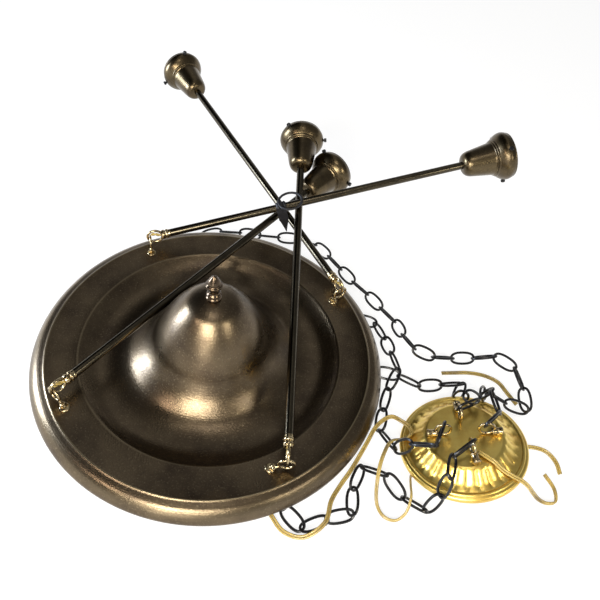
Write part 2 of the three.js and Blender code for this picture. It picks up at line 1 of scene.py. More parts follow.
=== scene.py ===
"""A pan chandelier of the 1920s, taken down and lying in a heap.

The pan lies face up with four pendants across it, four chains run to a bright canopy and gold
lamp leads lie among them. Sizes in this file are millimetres and degrees; shapes are made in
metres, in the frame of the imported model.
"""

import logging
import math
from collections.abc import Sequence
from dataclasses import dataclass
from enum import Enum

import bpy
from bpy.types import Material, Node, NodeSocket, NodeTree, Object
from mathutils import Matrix, Vector

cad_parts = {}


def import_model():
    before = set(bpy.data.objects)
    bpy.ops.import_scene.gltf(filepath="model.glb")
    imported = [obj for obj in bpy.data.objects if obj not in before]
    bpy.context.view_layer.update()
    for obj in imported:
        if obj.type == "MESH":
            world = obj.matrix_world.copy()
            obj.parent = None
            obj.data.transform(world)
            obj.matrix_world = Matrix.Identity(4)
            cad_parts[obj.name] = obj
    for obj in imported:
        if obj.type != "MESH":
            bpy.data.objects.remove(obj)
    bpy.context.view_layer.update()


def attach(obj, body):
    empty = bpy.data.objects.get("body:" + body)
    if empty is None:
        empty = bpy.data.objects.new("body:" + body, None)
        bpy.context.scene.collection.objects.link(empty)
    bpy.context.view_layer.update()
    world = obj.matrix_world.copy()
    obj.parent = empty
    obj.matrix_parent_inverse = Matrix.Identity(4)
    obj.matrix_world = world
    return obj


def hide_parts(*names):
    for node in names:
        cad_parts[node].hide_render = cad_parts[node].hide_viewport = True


LOG = logging.getLogger("chandelier")
MM = 0.001
GAP = 0.3  # between two wires that hang in each other
UP = Vector((0, 0, 1))
WHITE = (1, 1, 1, 1)

Pair = tuple[float, float]
Triple = tuple[float, float, float]


class Body(str, Enum):
    """The bodies of the model that are no pendant and no screw."""

    BASE = "base"
    FINIAL = "finial"


# ---------------------------------------------------------------- lines and directions


def direction(azimuth: float, slope: float) -> Vector:
    """The unit vector of an azimuth and a slope.

    Args:
        azimuth: degrees from +X towards +Y.
        slope: degrees over the level.

    Returns:
        The direction.
    """
    a, s = math.radians(azimuth), math.radians(slope)
    return Vector((math.cos(s) * math.cos(a), math.cos(s) * math.sin(a), math.sin(s)))


def curve_through(points: Sequence[Sequence[float]], between: int) -> list[Vector]:
    """A smooth curve through set points (a centripetal Catmull-Rom curve).

    Args:
        points: the points, in 2 or 3 dimensions.
        between: how many steps lie between two of them.

    Returns:
        The points of the curve, both ends included.
    """
    given = [Vector(p).to_3d() for p in points]
    line = [2 * given[0] - given[1], *given, 2 * given[-1] - given[-2]]
    out = []
    for a, b, c, d in zip(line, line[1:], line[2:], line[3:]):
        t0, t1, t2 = (max((q - p).length ** 0.5, 1e-6) for p, q in ((a, b), (b, c), (c, d)))
        leave = ((b - a) / t0 - (c - a) / (t0 + t1) + (c - b) / t1) * t1
        arrive = ((c - b) / t1 - (d - b) / (t1 + t2) + (d - c) / t2) * t1
        for n in range(between):
            t = n / between
            square, cube = t * t, t * t * t
            out.append(
                b * (2 * cube - 3 * square + 1)
                + leave * (cube - 2 * square + t)
                + c * (3 * square - 2 * cube)
                + arrive * (cube - square)
            )
    return [*out, given[-1]]


def flow(points: Sequence[Pair], between: int = 6) -> list[Pair]:
    """A smooth outline through points of (radius, height).

    Args:
        points: the points that the outline passes.
        between: how many steps lie between two of them.

    Returns:
        The outline's points.
    """
    return [(max(0.0, p.x), p.y) for p in curve_through(points, between)]


def beside(line: Sequence[Pair], wall: float) -> list[Pair]:
    """The same line moved by a wall to its right-hand side, run backwards.

    Args:
        line: an outline of (radius, height).
        wall: how far it moves.

    Returns:
        The moved line, from its far end.
    """
    moved = []
    for i, (r, z) in enumerate(line):
        before, after = line[max(0, i - 1)], line[min(len(line) - 1, i + 1)]
        way = Vector((after[0] - before[0], after[1] - before[1])).normalized()
        moved.append((r + way.y * wall, z - way.x * wall))
    return moved[::-1]


def raised(outline: Sequence[Pair], by: float) -> list[Pair]:
    """An outline of (radius, height) moved up."""
    return [(r, z + by) for r, z in outline]


def in_metres(points: Sequence[Sequence[float]]) -> list[Vector]:
    """Points of millimetres as points of metres."""
    return [Vector(p).to_3d() * MM for p in points]


def length_of(points: Sequence[Vector]) -> float:
    """How long a line of points is."""
    return sum((b - a).length for a, b in zip(points, points[1:]))


# ---------------------------------------------------------------- shapes


def deselect() -> None:
    """Leaves edit mode and selects nothing."""
    if bpy.context.object and bpy.context.object.mode != "OBJECT":
        bpy.ops.object.mode_set(mode="OBJECT")
    bpy.ops.object.select_all(action="DESELECT")


def take(*objects: Object) -> None:
    """Selects these objects and no others, the last one active."""
    deselect()
    for thing in objects:
        thing.select_set(True)
        bpy.context.view_layer.objects.active = thing


def edit_all() -> None:
    """Opens the active object for editing with its whole mesh selected."""
    bpy.ops.object.mode_set(mode="EDIT")
    bpy.ops.mesh.select_all(action="SELECT")


def turned(outline: Sequence[Pair], steps: int) -> Object:
    """Turns a closed outline into a body of revolution about Z, as on a lathe.

    Args:
        outline: the points of (radius, height) all round the section.
        steps: how many faces the turn has.

    Returns:
        The body, at the origin.
    """
    deselect()
    bpy.ops.mesh.primitive_plane_add(size=MM)
    body = bpy.context.object
    edit_all()
    bpy.ops.mesh.merge(type="CENTER")
    first = outline[0]
    bpy.ops.transform.translate(value=(first[0] * MM, 0, first[1] * MM))
    for (r, z), (s, y) in zip(outline, [*outline[1:], first]):
        step = {"value": ((s - r) * MM, 0, (y - z) * MM)}
        bpy.ops.mesh.extrude_vertices_move(TRANSFORM_OT_translate=step)
    bpy.ops.mesh.select_all(action="SELECT")
    bpy.ops.mesh.spin(steps=steps, angle=2 * math.pi, center=(0, 0, 0), axis=(0, 0, 1))
    bpy.ops.mesh.select_all(action="SELECT")
    bpy.ops.mesh.remove_doubles(threshold=0.002 * MM)
    bpy.ops.mesh.normals_make_consistent(inside=False)
    bpy.ops.object.mode_set(mode="OBJECT")
    return body


def ring(radius: float, wire: float, around: int = 40, sides: int = 12) -> Object:
    """A ring of round wire about Z.

    Args:
        radius: of the wire's middle.
        wire: the wire's own radius.
        around: how many faces lie along the wire.
        sides: how many lie round it.

    Returns:
        The ring, at the origin.
    """
    deselect()
    bpy.ops.mesh.primitive_torus_add(
        major_radius=radius * MM,
        minor_radius=wire * MM,
        major_segments=around,
        minor_segments=sides,
    )
    return bpy.context.object


def frame_at(foot: Vector, along: Vector, across: Vector) -> Matrix:
    """The matrix that puts a body made along Z with its foot at a point.

    Args:
        foot: where its origin goes, in millimetres.
        along: where its Z goes.
        across: near where its X goes.

    Returns:
        The matrix, in metres.
    """
    z = along.normalized()
    x = (across - z * across.dot(z)).normalized()
    y = z.cross(x)
    turn = Matrix((x, y, z)).transposed().to_4x4()
    return Matrix.Translation(foot * MM) @ turn


def put(thing: Object, place: Matrix) -> Object:
    """Moves an object and leaves the move in its mesh.

    Args:
        thing: what is moved.
        place: the matrix of the move.

    Returns:
        The same object, at the origin, unturned.
    """
    take(thing)
    thing.matrix_world = place @ thing.matrix_world
    bpy.context.view_layer.update()
    bpy.ops.object.transform_apply(location=True, rotation=True, scale=True)
    return thing


def joined(*things: Object) -> Object:
    """Joins objects into the last of them."""
    take(*things)
    if len(things) > 1:
        bpy.ops.object.join()
    return bpy.context.object


def copied(thing: Object, place: Matrix) -> Object:
    """A copy of an object with a mesh of its own.

    Args:
        thing: what is copied.
        place: the matrix that the copy gets.

    Returns:
        The copy.
    """
    twin = thing.copy()
    twin.data = thing.data.copy()
    bpy.context.scene.collection.objects.link(twin)
    return put(twin, place)


def tube(points: Sequence[Vector], radius: float, sides: int = 3) -> Object:
    """A round tube along points, with closed ends.

    Args:
        points: its middle line, in metres.
        radius: in millimetres.
        sides: the resolution of its roundness.

    Returns:
        The tube as a mesh.
    """
    deselect()
    data = bpy.data.curves.new("strand", "CURVE")
    data.dimensions = "3D"
    data.bevel_depth = radius * MM
    data.bevel_resolution = sides
    data.use_fill_caps = True
    spline = data.splines.new("POLY")
    spline.points.add(len(points) - 1)
    for point, place in zip(spline.points, points):
        point.co = (*place, 1)
    strand = bpy.data.objects.new("strand", data)
    bpy.context.scene.collection.objects.link(strand)
    take(strand)
    bpy.ops.object.convert(target="MESH")
    return bpy.context.object


def piece(
    thing: Object,
    name: str,
    finish: "Finish",
    body: str,
    nodes: Sequence[str] = (),
    crease: float = 38,
) -> Object:
    """Names, shades and dresses a piece, hangs it on its body and hides the solids that it stands
    for.

    Args:
        thing: the finished shape.
        name: the piece's name.
        finish: what its surface is.
        body: the body that it moves with.
        nodes: the solids that it replaces.
        crease: edges sharper than this many degrees stay sharp.

    Returns:
        The piece.
    """
    thing.name = thing.data.name = name
    take(thing)
    bpy.ops.object.shade_smooth_by_angle(angle=math.radians(crease))
    thing.data.materials.clear()
    thing.data.materials.append(finish.material())
    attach(thing, body)
    if nodes:
        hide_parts(*nodes)
    LOG.info("%s: %d faces on %s", name, len(thing.data.polygons), body)
    return thing


# ---------------------------------------------------------------- finishes


def linear(code: int) -> tuple[float, float, float, float]:
    """The linear colour of an sRGB hex value, with full alpha.

    Args:
        code: the hex value.

    Returns:
        Red, green, blue and alpha from 0 to 1.
    """
    parts = [((code >> shift) & 255) / 255 for shift in (16, 8, 0)]
    flat = [p / 12.92 if p <= 0.04045 else ((p + 0.055) / 1.055) ** 2.4 for p in parts]
    return (*flat, 1.0)


def span(low: Pair, high: Pair) -> dict[int, float]:
    """The inputs of a range: for each of its ends, the value before and after."""
    return {1: low[0], 2: high[0], 3: low[1], 4: high[1]}


def add_node(
    tree: NodeTree,
    kind: str,
    settings: dict | None = None,
    values: dict | None = None,
    links: dict | None = None,
) -> Node:
    """Adds a node with its settings and its links.

    Args:
        tree: where it goes.
        kind: its type, without the word ShaderNode.
        settings: attributes of the node.
        values: what unlinked inputs are set to, by name or number.
        links: the outputs that its inputs are linked to, by name or number.

    Returns:
        The node.
    """
    node = tree.nodes.new("ShaderNode" + kind)
    for key, value in (settings or {}).items():
        setattr(node, key, value)
    for key, value in (values or {}).items():
        node.inputs[key].default_value = value
    for key, output in (links or {}).items():
        tree.links.new(output, node.inputs[key])
    return node


@dataclass(frozen=True)
class Finish:
    """What a surface is made of and how it was made."""

    name: str
    slot: str
    colour: int
    rough: Pair
    also_bumped = ()  # sockets beside Normal that take the relief

    def material(self) -> Material:
        """The finish as a material, made once."""
        return bpy.data.materials.get(self.name) or self.made()

    def made(self) -> Material:
        """Makes the material.

        Returns:
            The material, with its surface linked to the output.
        """
        material = bpy.data.materials.new(self.name)
        material.use_nodes = True
        tree = material.node_tree
        tree.nodes.clear()
        add_node(tree, "OutputMaterial", links={"Surface": self.surface(tree)})
        return material

    def surface(self, tree: NodeTree) -> NodeSocket:
        """The output of the surface's own nodes."""
        raise NotImplementedError

    def noise(
        self, tree: NodeTree, size: float, detail: float, centre: Triple = (0, 0, 0)
    ) -> NodeSocket:
        """An even noise on object coordinates.

        Args:
            tree: the material's nodes.
            size: of its clouds, in millimetres.
            detail: how many finer layers it has.
            centre: the middle of the pattern, in millimetres.

        Returns:
            The noise from 0 to 1.
        """
        place = add_node(tree, "TexCoord").outputs["Object"]
        if any(centre):
            shift = {"Location": [-MM * c for c in centre]}
            place = add_node(tree, "Mapping", values=shift, links={"Vector": place}).outputs[0]
        values = {"Scale": 1 / (size * MM), "Detail": detail, "Roughness": 0.6}
        return add_node(tree, "TexNoise", values=values, links={"Vector": place}).outputs["Fac"]

    def laid_over(
        self,
        tree: NodeTree,
        first: int | NodeSocket,
        second: int,
        pattern: NodeSocket,
        low: Pair,
        high: Pair,
    ) -> NodeSocket:
        """One colour laid over another where a pattern says so.

        Args:
            tree: the material's nodes.
            first: the colour below, a hex value or an output.
            second: the hex value of the colour on top.
            pattern: the pattern that it follows.
            low: a value of the pattern and how much of the second colour shows there.
            high: the same for the other end of the change.

        Returns:
            The mixed colour.
        """
        share = add_node(tree, "MapRange", values=span(low, high), links={0: pattern}).outputs[0]
        values, links = {7: linear(second)}, {0: share}
        if isinstance(first, int):
            values[6] = linear(first)
        else:
            links[6] = first
        return add_node(tree, "Mix", {"data_type": "RGBA"}, values, links).outputs[2]

    def shaded(
        self,
        tree: NodeTree,
        body: NodeSocket,
        clouds: NodeSocket,
        values: dict | None = None,
        relief: tuple[NodeSocket, float, float] | None = None,
        dullest: float = 0.7,
    ) -> NodeSocket:
        """The shader, with a gloss that follows the clouds.

        Args:
            tree: the material's nodes.
            body: the colour.
            clouds: the pattern that the roughness follows.
            values: what the shader's own sockets are set to.
            relief: a height, how strongly it shows and how deep it is in millimetres.
            dullest: the value of the clouds where the surface is roughest.

        Returns:
            The shader's output.
        """
        gloss = span((0.3, self.rough[0]), (dullest, self.rough[1]))
        rough = add_node(tree, "MapRange", values=gloss, links={0: clouds}).outputs[0]
        links = {"Base Color": body, "Roughness": rough}
        if relief:
            height, strength, depth = relief
            bump = {"Strength": strength, "Distance": depth * MM}
            normal = add_node(tree, "Bump", values=bump, links={"Height": height}).outputs[0]
            links |= {name: normal for name in ("Normal", *self.also_bumped)}
        return add_node(tree, "BsdfPrincipled", values=values, links=links).outputs["BSDF"]


@dataclass(frozen=True)
class DarkenedBrass(Finish):
    """Brass sheet or rod, darkened in a bath and worn back by use.

    The eye sees an olive-brown metal with slow clouds of deeper brown, a fine grit that breaks
    up its highlights, and pale speckles on its tops that are partly wear and partly painted
    glints.
    """

    deep: int = 0x2E241C
    # pale metal of the grit's speckles and the rings: partly worn brass, partly painted glints
    pale_wear_and_glint: int = 0x8A7A58
    cloud: float = 45
    grit: float = 1.5  # the real grit is near 0.5 mm; drawn coarser so that it shows
    depth: float = 0.05
    # the rings are paler metal: partly worn brass, partly painted highlight on ridges and rim
    worn_and_highlit_rings: tuple[Triple, ...] = ()  # rings of (radius, half width, how bright)
    centre: Triple = (0, 0, 0)
    spun: float = 0  # from one lathe line to the next; real ones are finer than can show
    line: float = 0.04  # how deep a lathe line is beside the grit
    lacquer: float = 0.2
    also_bumped = ("Coat Normal",)

    def surface(self, tree: NodeTree) -> NodeSocket:
        """Clouds, grit, worn and painted-highlight rings and lathe lines over a dark metal.

        Args:
            tree: the material's nodes.

        Returns:
            The shader's output.
        """
        clouds = self.noise(tree, self.cloud, 4, self.centre)
        grit = self.noise(tree, self.grit, 2)
        body = self.laid_over(tree, self.colour, self.deep, clouds, (0.42, 0), (0.7, 0.75))
        # pale speckles on the grit's tops: partly worn metal, partly painted glints
        body = self.laid_over(tree, body, self.pale_wear_and_glint, grit, (0.56, 0), (0.78, 0.55))
        height = grit
        if self.worn_and_highlit_rings or self.spun:
            place = add_node(tree, "TexCoord").outputs["Object"]
            flat = {"Location": [-MM * c for c in self.centre], "Scale": (1, 1, 0)}
            place = add_node(tree, "Mapping", values=flat, links={"Vector": place}).outputs[0]
            length = add_node(tree, "VectorMath", {"operation": "LENGTH"}, links={0: place})
            radius = length.outputs["Value"]
        # the rings at ridges and rim: partly worn metal, partly painted highlight
        for at, half, much in self.worn_and_highlit_rings:
            past = add_node(tree, "Math", {"operation": "SUBTRACT"}, {1: at * MM}, {0: radius})
            away = add_node(tree, "Math", {"operation": "ABSOLUTE"}, links={0: past.outputs[0]})
            body = self.laid_over(
                tree, body, self.pale_wear_and_glint, away.outputs[0], (0, much), (half * MM, 0)
            )
        if self.spun:
            turns = {1: 2 * math.pi / (self.spun * MM)}
            phase = add_node(tree, "Math", {"operation": "MULTIPLY"}, turns, {0: radius})
            wave = add_node(tree, "Math", {"operation": "SINE"}, links={0: phase.outputs[0]})
            links = {0: wave.outputs[0], 2: grit}
            lines = add_node(
                tree, "Math", {"operation": "MULTIPLY_ADD"}, {1: self.line}, links
            )
            height = lines.outputs[0]
        coat = {"Metallic": 1.0, "Coat Weight": self.lacquer, "Coat Roughness": 0.22}
        return self.shaded(tree, body, clouds, coat, (height, 0.6, self.depth))


@dataclass(frozen=True)
class BlackEnamel(Finish):
    """Steel wire dipped in black enamel.

    The eye sees a near-black skin with small sharp highlights, a little duller where dust sits.
    """

    dust: int = 0x2C2B30

    def surface(self, tree: NodeTree) -> NodeSocket:
        """A glossy dark skin, dusty in patches.

        Args:
            tree: the material's nodes.

        Returns:
            The shader's output.
        """
        patches = self.noise(tree, 9, 3)
        pits = self.noise(tree, 1.2, 1)
        body = self.laid_over(tree, self.colour, self.dust, patches, (0.45, 0), (0.75, 0.8))
        coat = {"Specular IOR Level": 0.3, "Coat Weight": 0.3, "Coat Roughness": 0.12}
        return self.shaded(tree, body, patches, coat, (pits, 0.35, 0.05), dullest=0.75)


@dataclass(frozen=True)
class Vinyl(Finish):
    """Gold vinyl pressed over two copper strands.

    The eye sees a soft shine along each strand, browner where the vinyl has aged.
    """

    aged: int = 0x5E4B22

    def surface(self, tree: NodeTree) -> NodeSocket:
        """Gold with browner stretches and a faint grain.

        Args:
            tree: the material's nodes.

        Returns:
            The shader's output.
        """
        stretches = self.noise(tree, 26, 3)
        grain = self.noise(tree, 1.6, 1)
        body = self.laid_over(tree, self.colour, self.aged, stretches, (0.4, 0), (0.7, 0.85))
        coat = {"Coat Weight": 0.4, "Coat Roughness": 0.2}
        return self.shaded(tree, body, stretches, coat, (grain, 0.3, 0.08))


@dataclass(frozen=True)
class Strap(Finish):
    """A black strap of soft plastic with a woven face.

    The eye sees a dull black with fine cross ribs.
    """

    worn: int = 0x2A2A33
    bands: float = 113.739  # draws ribs 3 mm apart; real ones near 0.8 mm would not show

    def surface(self, tree: NodeTree) -> NodeSocket:
        """Dull black with ribs.

        Args:
            tree: the material's nodes.

        Returns:
            The shader's output.
        """
        place = add_node(tree, "TexCoord").outputs["Object"]
        ribs = add_node(
            tree,
            "TexWave",
            {"bands_direction": "DIAGONAL"},
            {"Scale": self.bands, "Distortion": 1.5, "Detail": 2},
            {"Vector": place},
        ).outputs["Fac"]
        patches = self.noise(tree, 7, 3)
        body = self.laid_over(tree, self.colour, self.worn, patches, (0.4, 0), (0.75, 0.9))
        return self.shaded(tree, body, patches, relief=(ribs, 0.5, 0.15))


@dataclass(frozen=True)
class Porcelain(Finish):
    """Glazed porcelain, as lamp sockets were made.

    The eye sees a warm white under a clear glaze, with faint brown heat stains.
    """

    stain: int = 0xA89878

    def surface(self, tree: NodeTree) -> NodeSocket:
        """Warm white with faint stains under a glaze.

        Args:
            tree: the material's nodes.

        Returns:
            The shader's output.
        """
        stains = self.noise(tree, 14, 4)
        body = self.laid_over(tree, self.colour, self.stain, stains, (0.5, 0), (0.8, 0.7))
        return self.shaded(tree, body, stains, {"Coat Weight": 0.6, "Coat Roughness": 0.08})


CANOPY_PLACE: Triple = (291.3, -60.4, 18.6)

# pale speckles in these brasses are partly painted glints; the pan's rings, partly painted
# highlight
PAN_BRASS = DarkenedBrass(
    "patinated_spun_brass_pan", "dark_brass", 0x6A5C48, (0.25, 0.36), deep=0x3C3128,
    pale_wear_and_glint=0x9A8C70, grit=1.8, depth=0.3, worn_and_highlit_rings=((180, 1.2, 1.0), (146, 1.6, 0.35), (192, 5, 0.2)),
    spun=2.2,
)
CUP_BRASS = DarkenedBrass(
    "patinated_spun_brass_holder", "dark_brass", 0x5F523B, (0.24, 0.36), deep=0x392F23, cloud=18,
    depth=0.03,
)
FINIAL_BRASS = DarkenedBrass(
    "patinated_turned_brass", "dark_brass", 0x57493A, (0.14, 0.24), cloud=12, depth=0.02,
)
ROD_BRASS = DarkenedBrass(
    "drawn_brass_tube", "rod_brass", 0x4A4335, (0.18, 0.26), deep=0x2C261D, pale_wear_and_glint=0x807862,
    cloud=22, depth=0.006,
)
LOOP_BRASS = DarkenedBrass(
    "worn_brass_wire", "worn_brass", 0xB3A27E, (0.14, 0.26), deep=0x5E4C31, pale_wear_and_glint=0xE8DCC0,
    cloud=7, depth=0.02,
)
CANOPY_BRASS = DarkenedBrass(
    "bright_spun_brass", "bright_brass", 0xF2D474, (0.28, 0.37), deep=0xD4A84A,
    pale_wear_and_glint=0xF6E098, cloud=24, grit=1.2, depth=0.008, centre=CANOPY_PLACE, lacquer=0.15,
)
CHAIN_ENAMEL = BlackEnamel(
    "black_enamelled_steel", "black_steel", 0x0A0A0C, (0.25, 0.42), 0x17171B
)
LEAD_VINYL = Vinyl("gold_vinyl_lead", "gold_lead", 0xB8A05A, (0.22, 0.36))
STRAP_BLACK = Strap("black_woven_strap", "black_strap", 0x0C0C10, (0.5, 0.65), 0x1C1C24)
PORCELAIN = Porcelain("glazed_porcelain", "pale_ceramic", 0xE4DCCB, (0.18, 0.3))


# ---------------------------------------------------------------- surroundings


@dataclass(frozen=True)
class Lamp:
    """A soft lamp: where it hangs, how large and how bright it is."""

    name: str
    azimuth: float
    slope: float
    distance: float
    wide: float
    high: float
    radiance: float
    colour: int

    def hang(self) -> None:
        """Hangs the lamp, turned to the middle of the pan."""
        data = bpy.data.lights.new(self.name, "AREA")
        data.shape = "RECTANGLE"
        data.size = self.wide * MM
        data.size_y = self.high * MM
        data.energy = self.radiance * math.pi * self.wide * self.high * MM * MM
        data.color = linear(self.colour)[:3]
        lamp = bpy.data.objects.new(self.name, data)
        way = direction(self.azimuth, self.slope)
        lamp.location = way * self.distance * MM
        lamp.rotation_euler = way.to_track_quat("Z", "Y").to_euler()
        bpy.context.scene.collection.objects.link(lamp)


@dataclass
class Studio:
    """The camera, the lamps, the world and the floor."""

    eye: Triple = (87.70, -401.48, 602.79)
    pitch: float = 49.17
    roll: float = 10.75
    focal: float = 611.68
    picture: float = 600
    film: float = 36
    floor: float = 6000
    matt: float = 0.8  # how pale the floor is for the light that it throws back
    dull: float = 0.3  # how pale it is to the eye and in gloss, so that its shadow is faint
    glow: float = 0.8  # what it shines by itself to the eye and in gloss, never on the object
    ambient: float = 0.35  # the room's even light on the object
    # how bright the room is in gloss: each end of a change as its place and the light there
    left_side: tuple[Pair, Pair] = ((-0.3, 0.0), (-0.15, 0.4))
    right_side: tuple[Pair, Pair] = ((0.0, 0.4), (0.2, 0.2))
    skyline: tuple[Pair, Pair] = ((0.08, 0), (0.32, 1))
    lamps: tuple[Lamp, ...] = (
        Lamp("warm_front", -95, 36, 1400, 700, 460, 20, 0xFFF9EC),
        Lamp("warm_front_low", -96, 14, 1400, 460, 300, 5, 0xFFF9F0),
        Lamp("warm_front_left", -131, 39, 1400, 280, 260, 8, 0xFFE9DC),
        Lamp("warm_right", -33, 34, 1400, 320, 240, 15, 0xFFF8E4),
        Lamp("cool_left", 180, 12, 1500, 440, 640, 34, 0xDCEAFF),
        Lamp("soft_top", -80, 80, 1700, 380, 380, 5, 0xFFF6EA),
    )

    def camera(self) -> None:
        """Makes the camera at the place from which the object was seen."""
        e, roll = math.radians(self.pitch), math.radians(self.roll)
        ahead = Vector((0, math.cos(e), -math.sin(e)))
        right, up = Vector((1, 0, 0)), Vector((0, math.sin(e), math.cos(e)))
        x = right * math.cos(roll) + up * math.sin(roll)
        y = up * math.cos(roll) - right * math.sin(roll)
        turn = Matrix((x, y, -ahead)).transposed().to_4x4()
        data = bpy.data.cameras.new("camera")
        data.sensor_fit = "HORIZONTAL"
        data.sensor_width = self.film
        data.lens = self.focal / self.picture * self.film
        data.clip_start = 0.01
        eye = bpy.data.objects.new("camera", data)
        eye.matrix_world = Matrix.Translation(Vector(self.eye) * MM) @ turn
        bpy.context.scene.collection.objects.link(eye)
        bpy.context.scene.camera = eye

    def world(self) -> None:
        """A white backdrop; in gloss it is white at the skyline and darker overhead."""
        world = bpy.data.worlds.new("studio")
        world.use_nodes = True
        tree = world.node_tree
        tree.nodes.clear()
        path = add_node(tree, "LightPath").outputs
        way = add_node(tree, "TexCoord").outputs["Generated"]
        way = add_node(tree, "SeparateXYZ", links={0: way}).outputs
        left, right = (
            add_node(tree, "MapRange", values=span(*side), links={0: way["X"]}).outputs[0]
            for side in (self.left_side, self.right_side)
        )
        over = add_node(tree, "Math", {"operation": "MINIMUM"}, links={0: left, 1: right})
        soft = {"interpolation_type": "SMOOTHSTEP"}
        high = add_node(tree, "MapRange", soft, span(*self.skyline), {0: way["Z"]})
        gloss = add_node(
            tree, "Mix", {"data_type": "FLOAT"}, {2: 1.0}, {0: high.outputs[0], 3: over.outputs[0]}
        )
        plain, shine, white = (
            add_node(tree, "Background", values={"Color": WHITE, "Strength": strength})
            for strength in (self.ambient, 1, 1)
        )
        tree.links.new(gloss.outputs[0], shine.inputs["Strength"])
        links = {0: path["Is Glossy Ray"], 1: plain.outputs[0], 2: shine.outputs[0]}
        mix = add_node(tree, "MixShader", links=links).outputs[0]
        straight = {0: path["Is Camera Ray"], 1: path["Is Transmission Ray"]}
        seen = add_node(tree, "Math", {"operation": "MAXIMUM"}, links=straight).outputs[0]
        mix = add_node(tree, "MixShader", links={0: seen, 1: mix, 2: white.outputs[0]})
        add_node(tree, "OutputWorld", links={"Surface": mix.outputs[0]})
        bpy.context.scene.world = world
        bpy.context.scene.view_settings.view_transform = "Standard"

    def ground(self) -> None:
        """A white floor that keeps a faint shadow of the object."""
        deselect()
        bpy.ops.mesh.primitive_plane_add(size=self.floor * MM)
        floor = bpy.context.object
        floor.name = floor.data.name = "floor"
        material = bpy.data.materials.new("white_sweep")
        material.use_nodes = True
        tree = material.node_tree
        tree.nodes.clear()
        path = add_node(tree, "LightPath").outputs
        seen = path["Is Camera Ray"]
        for ray in ("Is Glossy Ray", "Is Transmission Ray"):
            links = {0: seen, 1: path[ray]}
            seen = add_node(tree, "Math", {"operation": "MAXIMUM"}, links=links).outputs[0]
        matt, dull = (
            add_node(tree, "BsdfDiffuse", values={"Color": (grey, grey, grey, 1)}).outputs[0]
            for grey in (self.matt, self.dull)
        )
        shine = {"Color": WHITE, "Strength": self.glow}
        glow = add_node(tree, "Emission", values=shine).outputs[0]
        bright = add_node(tree, "AddShader", links={0: dull, 1: glow}).outputs[0]
        mix = add_node(tree, "MixShader", links={0: seen, 1: matt, 2: bright}).outputs[0]
        add_node(tree, "OutputMaterial", links={"Surface": mix})
        floor.data.materials.append(material)

    def build(self) -> None:
        """Builds all of it."""
        self.camera()
        for lamp in self.lamps:
            lamp.hang()
        self.world()
        self.ground()
        LOG.info("studio: %d lamps", len(self.lamps))


# ---------------------------------------------------------------- hooks and wire loops


@dataclass(frozen=True)
class Hook:
    """Where one pendant hangs on the pan and how it lies."""

    name: str
    radius: float  # of the hinge's middle from the pan's, and its angle there
    angle: float
    azimuth: float  # the way that the pendant lies
    slope: float
    lean: float  # how far the pan loop leans to the side
    turn: float  # where the holder's first screw is
    rise: float = 50.5
    flange: float = 31
    ring: float = 8

    @property
    def hinge(self) -> Vector:
        """The middle of the hinge, in millimetres."""
        return direction(self.angle, 0) * self.radius + UP * self.rise

    @property
    def along(self) -> Vector:
        """The way that the pendant lies."""
        return direction(self.azimuth, self.slope)

    @property
    def axis(self) -> Vector:
        """The hinge's axis."""
        return direction(self.azimuth - 90, 0)

    @property
    def foot(self) -> Vector:
        """Where the pan loop stands on the flange."""
        side = self.hinge - self.axis * self.lean
        return Vector((side.x, side.y, self.flange))

    @property
    def eye(self) -> Vector:
        """The middle of the pan loop's ring."""
        return self.hinge - UP * self.ring

    @property
    def place(self) -> Matrix:
        """The matrix that lays a body made along Z on the pendant."""
        return frame_at(self.hinge, self.along, self.axis)


HOOKS = (
    Hook("right", 171.6, 38.3, 129.57, 4.59, 8.7, 35),
    Hook("front", 167.4, -51.1, 97.08, 5.93, 15.5, -10),
    Hook("left", 172.5, -143.6, 59.19, 3.31, -13.4, 0),
    Hook("back", 172.2, 130.2, 20.51, 13.35, -8.5, 65),
)


